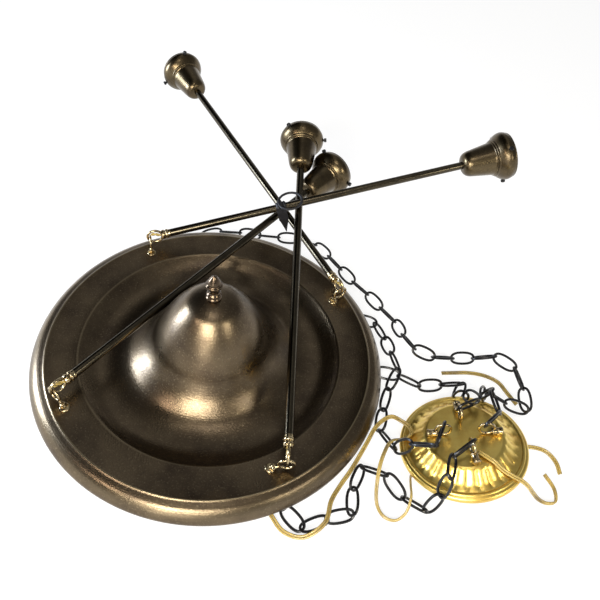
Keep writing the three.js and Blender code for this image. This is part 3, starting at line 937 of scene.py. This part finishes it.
@dataclass
class WireLoop:
    """A wire ring on a turned collar with a round foot."""

    ring: float = 8
    wire: float = 1.4
    collar: float = 4.8
    stem: float = 2.4
    foot: float = 1.6
    neck: tuple[Pair, ...] = (  # in shares of the collar's radius and of the neck's length
        (0.5, 0), (0.62, 0.16), (0.84, 0.38), (0.6, 0.56), (0.46, 0.7), (0.34, 1.02),
    )

    def shape(self, foot: Vector, up: Vector, centre: Vector, side: Vector) -> Object:
        """Builds a loop between its foot and its ring.

        Args:
            foot: where it stands.
            up: the way that its foot faces.
            centre: the middle of its ring.
            side: a direction in the plane of the ring.

        Returns:
            The loop in one mesh.
        """
        start = foot + up * self.foot
        along = (centre - start).normalized()
        reach = (centre - start).length - self.ring
        c = self.collar
        flat = (side - along * side.dot(along)).normalized()
        line = flow([(c * r, reach * z) for r, z in self.neck], 4)
        outline = [(0, 0), *line, (0, line[-1][1])]
        neck = put(turned(outline, 20), frame_at(start, along, flat))
        base = turned(
            [(0, 0), (c + 0.3, 0), (c + 0.6, 0.3), (c + 0.6, 1), (c + 0.1, 1.7), (c - 0.5, 1.9),
             (0, 1.9)], 24
        )
        put(base, frame_at(foot, up, side))
        eye = put(ring(self.ring, self.wire), frame_at(centre, along.cross(flat), flat))
        return joined(base, neck, eye)

    def build_on_pan(self, hook: Hook) -> None:
        """Builds the loop on the pan's face that a pendant hangs in.

        Args:
            hook: its place on the pan.
        """
        shape = self.shape(hook.foot, UP, hook.eye, hook.axis)
        name = f"pan_loop_{hook.name}"
        piece(shape, f"{name}_wire", LOOP_BRASS, Body.BASE.value, [name])

    def build_under_pan(self, hook: Hook, first: Triple) -> tuple[Vector, Vector]:
        """Builds the loop under the flange that a chain starts in.

        Args:
            hook: the hook above it.
            first: the first point of the chain's route.

        Returns:
            The middle of its ring and the way to the chain.
        """
        wide = WireLoop(ring=Chain.eye)
        foot = hook.foot
        side = Vector((first[0] - foot.x, first[1] - foot.y, 0)).normalized()
        top = Vector((foot.x, foot.y, hook.flange - Pan.wall))
        centre = Vector((foot.x, foot.y, wide.ring + wide.wire))
        shape = wide.shape(top, -UP, centre, side)
        stem = turned([(0, 0), (self.stem, 0), (self.stem, 2.3), (0, 2.3)], 16)
        put(stem, Matrix.Translation((top - UP) * MM))
        name = f"chain_loop_{hook.name}"
        piece(joined(stem, shape), f"{name}_wire", CHAIN_ENAMEL, Body.BASE.value, [name])
        return centre, side


# ---------------------------------------------------------------- pan and finial


@dataclass
class Pan:
    """The spun pan, its stud and its finial."""

    flange: float = 31
    wall: float = 1.4
    recess: float = 146
    edge: float = 180
    stud: float = 3
    stud_below: float = 16  # how far the stud goes under the dome's top, and over it
    stud_above: float = 12
    ridge: float = 0.5  # from a thread's ridge to its valley, along the stud
    nut: float = 7
    nut_high: float = 6.8
    nut_at: float = 7.6
    crown: float = 86
    steps: int = 168
    dome: tuple[Pair, ...] = (
        (3.3, 86), (10.5, 85.6), (25.8, 80), (36, 70), (45, 58), (52.8, 45), (59.6, 32),
        (65.4, 19.5), (73.4, 8), (83, -1), (94, -8.2), (110, -12), (127, -10.7), (139, -5),
        (144.6, -0.8),
    )
    rim: tuple[Pair, ...] = (
        (181.2, -0.1), (189, -3.2), (195, -9.5), (198, -16.5), (195.5, -21.5), (191.5, -22.5),
    )

    def top(self) -> list[Pair]:
        """The line of the pan's face, from the stud to the edge of its rolled rim."""
        ridge = [
            (self.edge - 1.2, 0), (self.edge - 0.7, 0.4), (self.edge, 0.6),
            (self.edge + 0.7, 0.4),
        ]
        crease = [(self.recess, -0.1), (self.recess + 1.4, 0)]
        return [*flow(self.dome), *crease, *ridge, *flow(self.rim)]

    def shell(self) -> None:
        """Spins the pan."""
        under = beside([*flow(self.dome, 3), (self.recess + 1, 0), (self.edge, 0),
                        *flow(self.rim, 3)[1:]], self.wall)
        spun = turned(raised([*self.top(), *under], self.flange), self.steps)
        piece(spun, "pan_spun", PAN_BRASS, Body.BASE.value, ["pan"], 50)

    def fixing(self) -> None:
        """The stud and the nut under the dome."""
        top = self.flange + self.crown
        low, high = top - self.stud_below, top + self.stud_above
        rows = round((high - low) / self.ridge) + 1
        threads = [(self.stud - 0.25 * (n % 2), low + n * self.ridge) for n in range(rows)]
        stud = turned([(0, low), *threads, (0, high)], 20)
        deselect()
        bpy.ops.mesh.primitive_cylinder_add(
            vertices=6, radius=self.nut * MM, depth=self.nut_high * MM,
            location=(0, 0, (top - self.nut_at) * MM),
        )
        nut = bpy.context.object
        edit_all()
        bpy.ops.mesh.bevel(offset=0.5 * MM, segments=2)
        bpy.ops.object.mode_set(mode="OBJECT")
        put(nut, Matrix.Identity(4))
        piece(joined(nut, stud), "finial_stud_threaded", LOOP_BRASS, Body.BASE.value,
              ["finial_stud"], 30)

    def finial(self) -> None:
        """The turned finial."""
        side = [
            *flow([(3.3, 0.3), (7.5, 0.3), (8.2, 1.2), (8.1, 2.4), (7.2, 3.6)], 4),
            *flow([(6.9, 4.2), (7.7, 5.4), (7.6, 7), (6.2, 8.6)], 4),
            *flow([(5.6, 9.6), (5.4, 12), (5.9, 14.4), (7.2, 16.8), (8.4, 18.2), (8.9, 19.6),
                   (8.6, 20.7), (7.6, 21.6)], 4),
            *flow([(7, 22.2), (7, 23.6), (6, 26), (4.4, 28.6), (2.8, 30.8), (1.5, 32.2),
                   (0.7, 32.9), (0, 33)], 5),
            (0, 14), (3.3, 13),
        ]
        shape = turned(raised(side, self.flange + self.crown), 48)
        piece(shape, "finial_turned", FINIAL_BRASS, Body.FINIAL.value, ["finial"], 50)

    def build(self) -> None:
        """Builds the three pieces."""
        self.shell()
        self.fixing()
        self.finial()


# ---------------------------------------------------------------- pendants


@dataclass
class Pendant:
    """A tube with a loop at one end and a shade holder at the other."""

    hook: Hook
    rod: float = 4.75
    bore: float = 3.6
    ring: float = 9.1
    wire: float = 1.5
    ferrule: float = 5.8
    ferrule_long: float = 11
    reach: float = 461
    cup: float = 30.25
    screw: float = 1.6
    head: float = 2.8
    out: float = 34.5
    screws: int = 3
    knurls: int = 24
    pressed: float = 0.9  # what a knurl leaves of the head's radius
    tip: float = 25  # from the holder's middle to a screw's inner end
    strand: float = 1.0
    strand_out: float = 0.95  # from the middle of the twisted lead to that of a strand
    twist: float = 0.42  # in radians from one point of the lead to the next
    seat: float = 48.5  # from the holder's widest back to the tube's end
    stub: tuple[Pair, ...] = ((0, 24), (0, 15), (0.3, 12), (2.6, 8.2), (3.9, 5), (4.1, 1.8))

    @property
    def body(self) -> str:
        """The pendant's body."""
        return f"pendant_{self.hook.name}"

    @property
    def ahead(self) -> float:
        """How far the ring's middle lies past the hinge."""
        return self.ring - self.wire - WireLoop.wire - 0.2

    @property
    def start(self) -> float:
        """Where the tube begins."""
        return self.ahead + self.ring + self.ferrule_long

    def put(self, thing: Object) -> Object:
        """Lays a body made along Z on the pendant."""
        return put(thing, self.hook.place)

    def part(
        self, thing: Object, node: str, kind: str, finish: Finish, crease: float = 38
    ) -> None:
        """Lays a body made along Z on the pendant in place of one of its solids.

        Args:
            thing: the body.
            node: the solid's name without that of the pendant.
            kind: the last word of the piece's name.
            finish: what its surface is.
            crease: edges sharper than this many degrees stay sharp.
        """
        name = f"{node}_{self.hook.name}"
        piece(self.put(thing), f"{name}_{kind}", finish, self.body, [name], crease)

    def tube(self) -> None:
        """The drawn tube."""
        end = self.reach - self.seat
        outline = [
            (self.bore, self.start), (self.rod - 0.3, self.start), (self.rod, self.start + 0.3),
            (self.rod, end), (self.bore, end),
        ]
        self.part(turned(outline, 32), "rod", "tube", ROD_BRASS)

    def top_loop(self) -> None:
        """The ring at the tube's end and its ferrule with two beads."""
        f, top = self.ferrule, self.ferrule_long
        outline = [
            (self.bore, top), (self.bore, -1.4), (f - 1.3, -1.4),
            *flow([(f - 1, -1.1), (f - 0.3, 0.4), (f, 1.8), (f - 0.3, 3.1), (f - 1.1, 4.1)], 4),
            *flow([(f - 1.1, 4.6), (f - 0.2, 5.4), (f, 6.4), (f - 0.2, 7.4), (f - 0.9, 8.2)], 4),
            *flow([(self.rod + 0.1, 8.6), (self.rod + 0.1, top - 0.6), (self.rod, top)], 2),
        ]
        ferrule = turned(raised(outline, self.start - top), 28)
        eye = ring(self.ring, self.wire, 48, 14)
        put(eye, frame_at(UP * self.ahead, Vector((1, 0, 0)), UP))
        self.part(joined(eye, ferrule), "rod_loop", "wire", LOOP_BRASS, 50)

    def lead_stub(self) -> None:
        """The twisted lamp lead that goes into the ferrule."""
        hook = self.hook
        up = -hook.along.cross(hook.axis)
        middle = [
            hook.hinge + up * p.x + hook.along * p.y for p in curve_through(self.stub, 5)]
        strands = []
        for side in (1, -1):
            line = []
            for n, point in enumerate(middle):
                turn = self.twist * n
                offset = hook.axis * math.cos(turn) + up * math.sin(turn)
                line.append((point + offset * (side * self.strand_out)) * MM)
            strands.append(tube(line, self.strand))
        piece(joined(*strands), f"rod_lead_{hook.name}_twin", LEAD_VINYL, self.body,
              [f"rod_lead_{hook.name}"])

    def holder(self) -> None:
        """The spun shade holder: cap, cone, bulged gallery and lipped rim."""
        r = self.rod + 0.15
        outer = [
            *flow([(r, -54.5), (8.4, -54.2), (11.8, -52.8), (14.4, -50), (15.9, -46), (17, -40),
                   (18.7, -29), (20.2, -19.5), (20.8, -16.2)], 5),
            *flow([(21.2, -15.8), (22, -15), (21.8, -14.1), (21.7, -13.8)], 3),
            *flow([(22.2, -13.6), (23.3, -12.9), (23.2, -11.9), (23.3, -11.5)], 3),
            *flow([(24.2, -10.9), (27.6, -6.9), (29.6, -3), (self.cup, 0.2), (29.9, 3.2),
                   (28.9, 6)], 5),
            (28.3, 6.6), (28.5, 7.1), (28.3, 7.8), (27.8, 8),
        ]
        inner = [
            (26.9, 8), *flow([(27.4, 6.4), (28.5, 3.6), (29, 0.4), (28.3, -2.8), (26, -6.8),
                              (22.4, -10.8), (20.6, -13)], 4),
            *flow([(19.8, -16), (18.9, -22), (17.1, -34), (15.9, -41), (14.9, -45.6),
                   (13, -49.2), (10, -51.8), (r, -53.1)], 4),
        ]
        spun = turned(raised([*outer, *inner], self.reach), 72)
        self.part(spun, "cup", "spun", CUP_BRASS, 50)

    def socket(self) -> None:
        """The porcelain lamp socket with its threaded shell."""
        body = [
            (self.bore, -48.5), (10.6, -48.5), (11.6, -48.1), (13.4, -45.1), (13.7, -43.5),
            (14.5, -8), (14.4, -6.8), (13.9, -6), (12.9, -6), (12.4, -6.6), (12, -41.5),
            (self.bore, -41.5),
        ]
        shell = [(self.bore + 0.1, -41.3), (11, -41.3)]
        shell += flow([(11.1 + 0.5 * (n % 2), -39.5 + n * 1.7) for n in range(19)], 2)
        shell += [(10.5, -8.6)]
        shell += flow([(10.4 + 0.5 * (n % 2), -10.4 - n * 1.7) for n in range(18)], 2)
        shell += [(10.2, -40.5), (self.bore + 0.1, -40.5)]
        self.part(turned(raised(body, self.reach), 40), "socket", "porcelain", PORCELAIN)
        lining = self.put(turned(raised(shell, self.reach), 32))
        piece(lining, f"socket_{self.hook.name}_shell", LOOP_BRASS, self.body)

    def thumb_screws(self) -> None:
        """The three knurled screws of the shade holder."""
        for n in range(self.screws):
            turn = math.radians(self.hook.turn + 360 / self.screws * n)
            way = Vector((math.cos(turn), math.sin(turn), 0))
            neck, low = self.cup + 0.8, self.tip
            threads = [(self.screw - 0.18 * (k % 2), low + 0.3 + k * 0.33) for k in range(17)]
            outline = [
                (0, low), (self.screw - 0.4, low), *threads, (self.screw, neck),
                (self.head - 0.4, neck + 0.1), (self.head, neck + 0.5),
                (self.head, self.out - 0.5), (self.head - 0.4, self.out), (0, self.out),
            ]
            shape = turned(outline, self.knurls)
            self.knurl(shape, neck + 0.3)
            put(shape, frame_at(UP * self.reach, way, UP))
            name = f"screw_{self.hook.name}_{n + 1}"
            piece(self.put(shape), f"{name}_knurled", CHAIN_ENAMEL, name, [name], 25)

    def knurl(self, shape: Object, low: float) -> None:
        """Presses every other edge of a screw's head inwards.

        Args:
            shape: the screw along Z.
            low: where its head begins.
        """
        take(shape)
        for part in (*shape.data.edges, *shape.data.polygons):
            part.select = False
        for vertex in shape.data.vertices:
            radius = math.hypot(vertex.co.x, vertex.co.y)
            turn = math.atan2(vertex.co.y, vertex.co.x) / (2 * math.pi)
            column = round(turn * self.knurls)
            outside = radius > (self.head - 0.3) * MM and vertex.co.z > low * MM
            vertex.select = outside and column % 2 == 1
        bpy.ops.object.mode_set(mode="EDIT")
        bpy.ops.mesh.select_mode(type="VERT")
        inwards = (self.pressed, self.pressed, 1)
        bpy.ops.transform.resize(value=inwards, center_override=(0, 0, 0))
        bpy.ops.object.mode_set(mode="OBJECT")

    def build(self) -> None:
        """Builds the pendant."""
        self.tube()
        self.top_loop()
        self.lead_stub()
        self.holder()
        self.socket()
        self.thumb_screws()


@dataclass
class Tie:
    """The black strap knotted round the back pendant where the four tubes cross."""

    hook: Hook
    low: float = 162
    wide: float = 13
    rod: float = 4.75
    big: float = 15
    ring: float = 1.5  # the wire radius of the ring, which is big across its middle line
    thick: float = 1.8
    section: tuple[Pair, ...] = ((-1, -0.6), (0, -1), (1, -0.6), (1, 0.6), (0, 1), (-1, 0.6))

    def band(self) -> Object:
        """Three turns of strap round the tube, each a flat bulged ring."""
        turns = []
        for at, wide, out in ((0, 5, 2.2), (4.2, 5.2, 2.9), (8.4, 4.6, 2.2)):
            outline = [
                (self.rod + 0.05, at), *flow([(self.rod + 0.6, at - 0.1),
                (self.rod + out, at + wide * 0.3), (self.rod + out, at + wide * 0.7),
                (self.rod + 0.6, at + wide)], 3), (self.rod + 0.05, at + wide),
            ]
            turns.append(turned([(r, min(z, self.wide) + self.low) for r, z in outline], 28))
        return joined(*turns)

    def ribbon(self, line: Sequence[Triple], wide: float) -> Object:
        """A flat strap along points of the pendant's own frame.

        Args:
            line: its middle line.
            wide: its width, which narrows to a point at the far end.

        Returns:
            The strap as a mesh.
        """
        middle = curve_through(line, 5)
        deselect()
        bpy.ops.mesh.primitive_plane_add(size=MM)
        strap = bpy.context.object
        points, faces = [], []
        for n, place in enumerate(middle):
            share = n / (len(middle) - 1)
            half = wide / 2 * min(1.0, 2.4 * (1 - share) + 0.04)
            ahead = (middle[min(n + 1, len(middle) - 1)] - middle[max(n - 1, 0)]).normalized()
            side = (UP - ahead * ahead.z).normalized()
            flat = ahead.cross(side)
            for s, t in self.section:
                points.append((place + side * (half * s) + flat * (self.thick / 2 * t)) * MM)
        rows, corners = len(middle), len(self.section)
        for n in range(rows - 1):
            for k in range(corners):
                a, b = n * corners + k, n * corners + (k + 1) % corners
                faces.append((a, b, b + corners, a + corners))
        last = (rows - 1) * corners
        faces += [tuple(reversed(range(corners))), tuple(range(last, last + corners))]
        strap.data.clear_geometry()
        strap.data.from_pydata(points, [], faces)
        strap.data.update()
        return strap

    def build(self) -> None:
        """Builds the strap in one mesh and lays it on its pendant."""
        r = self.rod
        centre = Vector((0, -r - 2.1, self.low + 4 + self.big))
        eye = put(ring(self.big, self.ring, 44, 10), frame_at(centre, Vector((0, 1, 0)), UP))
        tail = self.ribbon(
            [(r + 1, -4, self.low + 6), (r + 1.9, 4, self.low + 6), (r + 1.9, 18, self.low + 7),
             (r + 1.6, 38, self.low + 7.4)], self.wide - 0.6,
        )
        shape = joined(eye, tail, self.band())
        put(shape, self.hook.place)
        piece(shape, "tie_knotted", STRAP_BLACK, f"pendant_{self.hook.name}", ["tie"])


# ---------------------------------------------------------------- canopy


@dataclass(frozen=True)
class CanopyLoop:
    """A wire loop on the canopy: its place, the end of its chain and the chain's way over."""

    name: str
    at: float
    way: Pair
    over: tuple[Triple, ...]  # points of (radius, angle, height) on the canopy


CANOPY_LOOPS = (
    CanopyLoop("right", 5, (-0.6, -0.8), ((86, 74, 4), (70, 70, 14), (54, 66, 20), (44, 63, 33))),
    CanopyLoop("back", 99, (-0.8, -0.6),
               ((86, 200, 6), (72, 206, 12), (54, 212, 19), (44, 218, 33))),
    CanopyLoop("left", 185, (0.35, 0.94), ((86, 30, 4), (70, 31, 14), (54, 32, 20), (44, 33, 33))),
    CanopyLoop("front", -75, (0.8, 0.6),
               ((84, 247, 2), (70, 248, 13), (54, 248, 19), (44, 247, 33))),
)


@dataclass
class Canopy:
    """The bright spun canopy with its fluted flank and four wire loops."""

    outer: float = 68
    high: float = 22
    wall: float = 1.2
    crown: float = 41
    flank: float = 59.5  # where the flutes end
    soft: float = 4  # how far they take to rise from nothing
    flutes: int = 28
    ridge: float = 1.4  # from a valley to a ridge, and how far a valley is sunk
    sunk: float = 0.9
    valley: float = 0.7  # under 1, so that the valleys are narrower than the ridges
    loop_at: float = 37
    ring_in: float = 14.5  # from a loop's foot in to the middle of its ring
    tilt: Pair = (-7.1, -13.6)
    lift: Triple = CANOPY_PLACE
    steps: int = 28 * 8

    @property
    def lean(self) -> Matrix:
        """How the canopy leans as it lies, about X and about its own Y."""
        about_x, about_y = (math.radians(angle) for angle in self.tilt)
        return Matrix.Rotation(about_x, 4, "X") @ Matrix.Rotation(about_y, 4, "Y")

    @property
    def place(self) -> Matrix:
        """The matrix that lays the canopy down, in millimetres."""
        return Matrix.Translation(self.lift) @ self.lean

    @property
    def place_in_metres(self) -> Matrix:
        """The same matrix for meshes."""
        return Matrix.Translation([MM * c for c in self.lift]) @ self.lean

    def flute(self, shape: Object) -> None:
        """Presses the flutes into the flank: soft ridges with narrow valleys.

        Args:
            shape: the turned canopy along Z.
        """
        for vertex in shape.data.vertices:
            x, y = vertex.co.x, vertex.co.y
            radius = math.hypot(x, y) / MM
            if self.crown < radius < self.flank:
                room = min(radius - self.crown, self.flank - radius)
                share = min(1.0, room / self.soft)
                wave = abs(math.sin(self.flutes / 2 * math.atan2(y, x))) ** self.valley
                vertex.co.z += (wave * self.ridge - self.sunk) * share * MM

    def shell(self) -> None:
        """Spins the canopy and flutes it."""
        h, c = self.high, self.crown
        outer = [
            (0, h), (20, h), *flow([(c - 4, h), (c - 1, h - 0.2), (c + 1.6, h - 1.6),
            (c + 4.2, h - 4.2), (48.4, 14.4), (51.4, 11.2), (54.6, 8.6), (58, 7), (60, 6.3)], 5),
            *flow([(60.6, 6.3), (61.4, 6.9), (62.6, 7.1), (63.8, 6.5), (64.4, 5.7)], 3),
            *flow([(64.8, 5.6), (66.2, 5), (67.5, 3.8), (self.outer, 2), (self.outer, 0.2)], 4),
            (self.outer - 0.2, 0),
        ]
        inner = [
            (self.outer - self.wall, 0), (self.outer - self.wall, 2.4), (64.6, 4.2),
            (62.6, 5.6), (60.4, 4.9), *flow([(59, 5.2), (54.4, 7.2), (51, 9.6), (48, 12.8),
            (c + 3.4, h - 5.4), (c - 0.8, h - 1.4)], 4), (20, h - 1.4), (0, h - 1.4),
        ]
        shape = turned([*outer, *inner], self.steps)
        self.flute(shape)
        put(shape, self.place_in_metres)
        piece(shape, "canopy_spun", CANOPY_BRASS, Body.BASE.value, ["canopy"], 40)

    def loops(self) -> dict[str, tuple[Vector, Vector]]:
        """Builds the four loops.

        Returns:
            For each loop's name, the two bearing points of its chain's last link.
        """
        make = WireLoop()
        ends = {}
        for loop in CANOPY_LOOPS:
            out = direction(loop.at, 0)
            foot = out * self.loop_at + UP * self.high
            rise = self.high + make.ring + make.wire + 0.4
            centre = out * (self.loop_at - self.ring_in) + UP * rise
            shape = make.shape(foot, UP, centre, UP)
            stem = turned([(0, -6), (make.stem, -6), (make.stem, 1), (0, 1)], 16)
            put(stem, Matrix.Translation(foot * MM))
            barrel = turned(
                [(0, 0), (3.4, 0), *flow([(3.4, 0), (4.2, 0.5), (4.3, 1.8), (3.8, 2.8)], 3)[1:],
                 (3.8, 9), *flow([(3.8, 9), (4.3, 9.8), (4.3, 10.8), (3.6, 11.6)], 3)[1:],
                 (0, 11.6)], 28,
            )
            put(barrel, frame_at(foot + out * 2.5 + UP * 4.6, -out, UP))
            shape = put(joined(stem, barrel, shape), self.place_in_metres)
            name = f"canopy_loop_{loop.name}"
            piece(shape, f"{name}_wire", LOOP_BRASS, Body.BASE.value, [name])
            course = Vector((*loop.way, 0.25)).normalized()
            cross = Vector((*loop.way, 0)).cross(out).z
            past = (make.wire + Chain.wire + GAP) / abs(cross)
            end = centre + UP * make.ring + course * (past - Chain.seat)
            ends[loop.name] = (self.place @ (end - course * Chain.pitch()), self.place @ end)
        return ends

    def over(self, loop: CanopyLoop) -> list[Vector]:
        """The points where a chain passes over the rim."""
        return [self.place @ (direction(angle, 0) * r + UP * z) for r, angle, z in loop.over]

    def build(self) -> dict[str, tuple[Vector, Vector]]:
        """Builds the canopy and returns the ends of the chains."""
        self.shell()
        return self.loops()


# ---------------------------------------------------------------- chains


@dataclass
class Chain:
    """A chain of oval links from a loop under the pan to a loop on the canopy."""

    name: str
    to: str
    route: tuple[Triple, ...]
    long: float = 32
    wide: float = 16.5
    wire: float = 1.3
    skin: float = 0.25  # the enamel on the wire
    bite: float = 0.2
    seat: float = 1.2  # from the wire's middle at a link's end in to its bearing point
    eye: float = 9  # the ring under the pan that the chain starts in
    least_lean: float = 0.2  # sines of how far a link leans over on the floor
    most_lean: float = 0.7071
    square: float = 2.5  # 2 would make the links ellipses; more makes them squarer
    fine: int = 80  # how finely each stretch of the way is searched for the next seat
    near: float = 1.98  # how many pitches the last two links can bridge

    @classmethod
    def pitch(cls) -> float:
        """How far the bearing points of a link are apart."""
        return cls.long - 4 * cls.wire + cls.bite

    def link(self) -> Object:
        """One oval link along X, in the XY plane."""
        bend = self.wide / 2 - self.wire
        half = self.long / 2 - self.wire
        shape = ring(bend, self.wire + self.skin, 28, 8)
        for vertex in shape.data.vertices:
            x, y = vertex.co.x / MM, vertex.co.y / MM
            turn, out = math.atan2(y, x), math.hypot(x, y) - bend
            c, s = math.cos(turn), math.sin(turn)
            oval = (abs(c) ** self.square + abs(s) ** self.square) ** (-1 / self.square)
            way = Vector((bend * c, half * s)).normalized()
            vertex.co.x = (half * c * oval + way.x * out) * MM
            vertex.co.y = (bend * s * oval + way.y * out) * MM
        return shape

    def seats(self, line: Sequence[Vector], end: Vector) -> list[Vector]:
        """Bearing points one pitch apart, the last two links folded to close on the end.

        Args:
            line: the chain's way.
            end: where its last link but one ends.

        Returns:
            The bearing points.
        """
        pitch = self.pitch()
        steps = [n / self.fine for n in range(self.fine)]
        places = [a.lerp(b, n) for a, b in zip(line, line[1:]) for n in steps]
        seats = [places[0]]
        for place in [*places, line[-1]]:
            last = seats[-1]
            if (last - end).length < self.near * pitch and len(seats) > 2:
                break
            if (place - last).length >= pitch:
                seats.append(last + (place - last).normalized() * pitch)
        last = seats[-1]
        gap = end - last
        fold = (UP - gap * (gap.z / gap.length_squared)).normalized()
        rise = math.sqrt(max(0.0, pitch * pitch - gap.length_squared / 4))
        return [*seats, (last + end) / 2 + fold * rise, end]

    def build(
        self, eye: Vector, way: Vector, over: Sequence[Vector], ends: tuple[Vector, Vector]
    ) -> None:
        """Builds the chain in one mesh.

        Args:
            eye: the middle of the loop under the pan.
            way: from there to the chain.
            over: its points over the canopy's rim.
            ends: the bearing points of its last link.
        """
        start = eye + way * (self.eye - WireLoop.wire - self.wire - GAP + self.seat)
        line = [start, *(Vector(p) for p in self.route), *over, ends[0]]
        seats = [*self.seats(line, ends[0]), ends[1]]
        half = self.wide / 2 - self.wire
        pattern = self.link()
        links = []
        for i, (a, b) in enumerate(zip(seats, seats[1:])):
            low = min(a.z, b.z)
            rise = (low - self.wire) / half
            lean = math.asin(min(self.most_lean, max(self.least_lean, rise)))
            roll = lean if i % 2 else -lean
            if i == 0:
                roll = 0
            if i + 2 == len(seats):
                roll = math.pi / 2
            along = (b - a).normalized()
            level = UP.cross(along).normalized()
            across = level * math.cos(roll) + along.cross(level) * math.sin(roll)
            place = frame_at((a + b) / 2, along.cross(across), along)
            links.append(copied(pattern, place))
        bpy.data.objects.remove(pattern)
        node = f"chain_{self.name}"
        piece(joined(*links), f"{node}_links", CHAIN_ENAMEL, Body.BASE.value, [node])


CHAINS = (
    Chain("right", "left", (
        (150, 104, 4), (176, 102, 3.6), (188, 100, 5), (198, 78, 8), (206, 56, 13),
        (216, 36, 20), (216, 18, 19), (208, 0, 10), (202, -30, 6.3), (202, -52, 6.3),
        (208, -78, 6.3),
    )),
    Chain("front", "front", (
        (104, -152, 5), (116, -166, 3.6), (132, -176, 4), (152, -162, 6.3), (174, -158, 6.3),
        (190, -142, 6.3), (176, -124, 6.3), (182, -104, 6.3), (198, -84, 6.3), (206, -100, 14),
        (222, -120, 6.3), (246, -136, 6.3), (266, -134, 6.3),
    )),
    Chain("left", "back", (
        (-100, -100, 5), (-60, -70, 6.3), (0, -20, 6.3), (100, 20, 6.3), (172, 28, 4),
        (208, 28, 3.8), (226, 26, 5), (242, 16, 6.3), (262, 20, 6.3), (290, 31, 6.3),
        (312, 33, 6.3),
    )),
    Chain("back", "right", (
        (-96, 148, 5), (-84, 170, 3.6), (-66, 194, 3.8), (-33, 214, 6.3), (27, 218, 6.3),
        (84, 228, 6.3), (112, 206, 6.3), (149, 166, 6.3), (170, 150, 6.3), (184, 134, 6.3),
        (209, 112, 6.3), (221, 90, 10), (224, 68, 20), (243, 54, 20), (272, 60, 8),
        (303, 74, 6.3), (323, 70, 8), (346, 78, 20), (364, 54, 18), (372, 24, 12),
        (374, 2, 8),
    )),
)


# ---------------------------------------------------------------- leads


@dataclass(frozen=True)
class Lead:
    """A free stretch of twin lamp lead, from one part of the heap to another."""

    name: str
    route: tuple[Triple, ...]
    wide: float = 4
    strand: float = 1.2
    twist: float = 0.02

    def build(self) -> None:
        middle = in_metres(curve_through(self.route, 6))
        sides = []
        side = UP.cross((middle[1] - middle[0]).normalized()).normalized()
        for n in range(len(middle)):
            ahead = (middle[min(n + 1, len(middle) - 1)] - middle[max(n - 1, 0)]).normalized()
            side = (side - ahead * side.dot(ahead)).normalized()
            turn = n * self.twist
            sides.append(side * math.cos(turn) + ahead.cross(side) * math.sin(turn))
        strands = [
            tube([p + s * (way * self.strand * MM) for p, s in zip(middle, sides)], self.strand)
            for way in (1, -1)
        ]
        lead = joined(*strands)
        node = f"lead_{self.name}"
        piece(lead, f"{node}_twin", LEAD_VINYL, Body.BASE.value, [node])
        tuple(middle[0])
        length_of(middle)
        LOG.info("%s: %.0f mm long", node, length_of(middle) / MM)


LEADS = (
    Lead("front", (
        (86, -150, 2.6), (100, -168, 2.6), (114, -181, 2.6), (134, -184, 6), (152, -170, 16),
        (156, -146, 14), (164, -126, 9), (174, -106, 9), (186, -78, 14), (197, -52, 16),
        (212, -38, 16), (224, -40, 14), (233, -46, 15), (235, -54, 15.6), (228, -61, 14),
        (214, -68, 17), (204, -90, 25), (200, -112, 23), (204, -136, 4), (212, -147, 2.6),
        (224, -149, 2.6), (233, -142, 9), (236, -128, 18), (236, -112, 14), (239, -98, 5),
        (250, -88, 2.6),
    )),
    Lead("right", (
        (297, -79, 47.8), (304.5, -85, 51), (312, -90.5, 53), (320, -94, 48.6),
        (331, -97, 44.6), (342, -100, 43), (352, -101, 36), (362, -101, 24), (374, -101, 11),
        (386, -100, 4), (396, -96, 2.6), (397, -82, 2.6), (388, -66, 2.6),
    )),
    Lead("back", (
        (274, 44, 2.6), (290, 48, 2.6), (308, 52, 2.6), (328, 52, 2.6), (344, 46, 2.6),
        (354, 33, 2.6), (363.8, 18, 3.9),
    )),
    Lead("edge", (
        (330, -52, 2.6), (345, -46, 2.6), (360, -40, 2.6), (375, -35, 2.6), (393, -37, 2.6),
        (403, -48, 2.6), (406, -62, 2.6),
    )),
)


def main() -> None:
    """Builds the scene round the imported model."""
    logging.basicConfig(level=logging.INFO, format="%(message)s", force=True)
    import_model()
    Studio().build()
    for lead in LEADS:
        lead.build()
    Pan().build()
    canopy = Canopy()
    ends = canopy.build()
    loops = WireLoop()
    for chain in CHAINS:
        hook = next(h for h in HOOKS if h.name == chain.name)
        loops.build_on_pan(hook)
        eye, way = loops.build_under_pan(hook, chain.route[0])
        loop = next(c for c in CANOPY_LOOPS if c.name == chain.to)
        chain.build(eye, way, canopy.over(loop), ends[chain.to])
    for hook in HOOKS:
        Pendant(hook).build()
    Tie(next(h for h in HOOKS if h.name == "back")).build()
    LOG.info("sizes written")


if __name__ == "__main__":
    main()
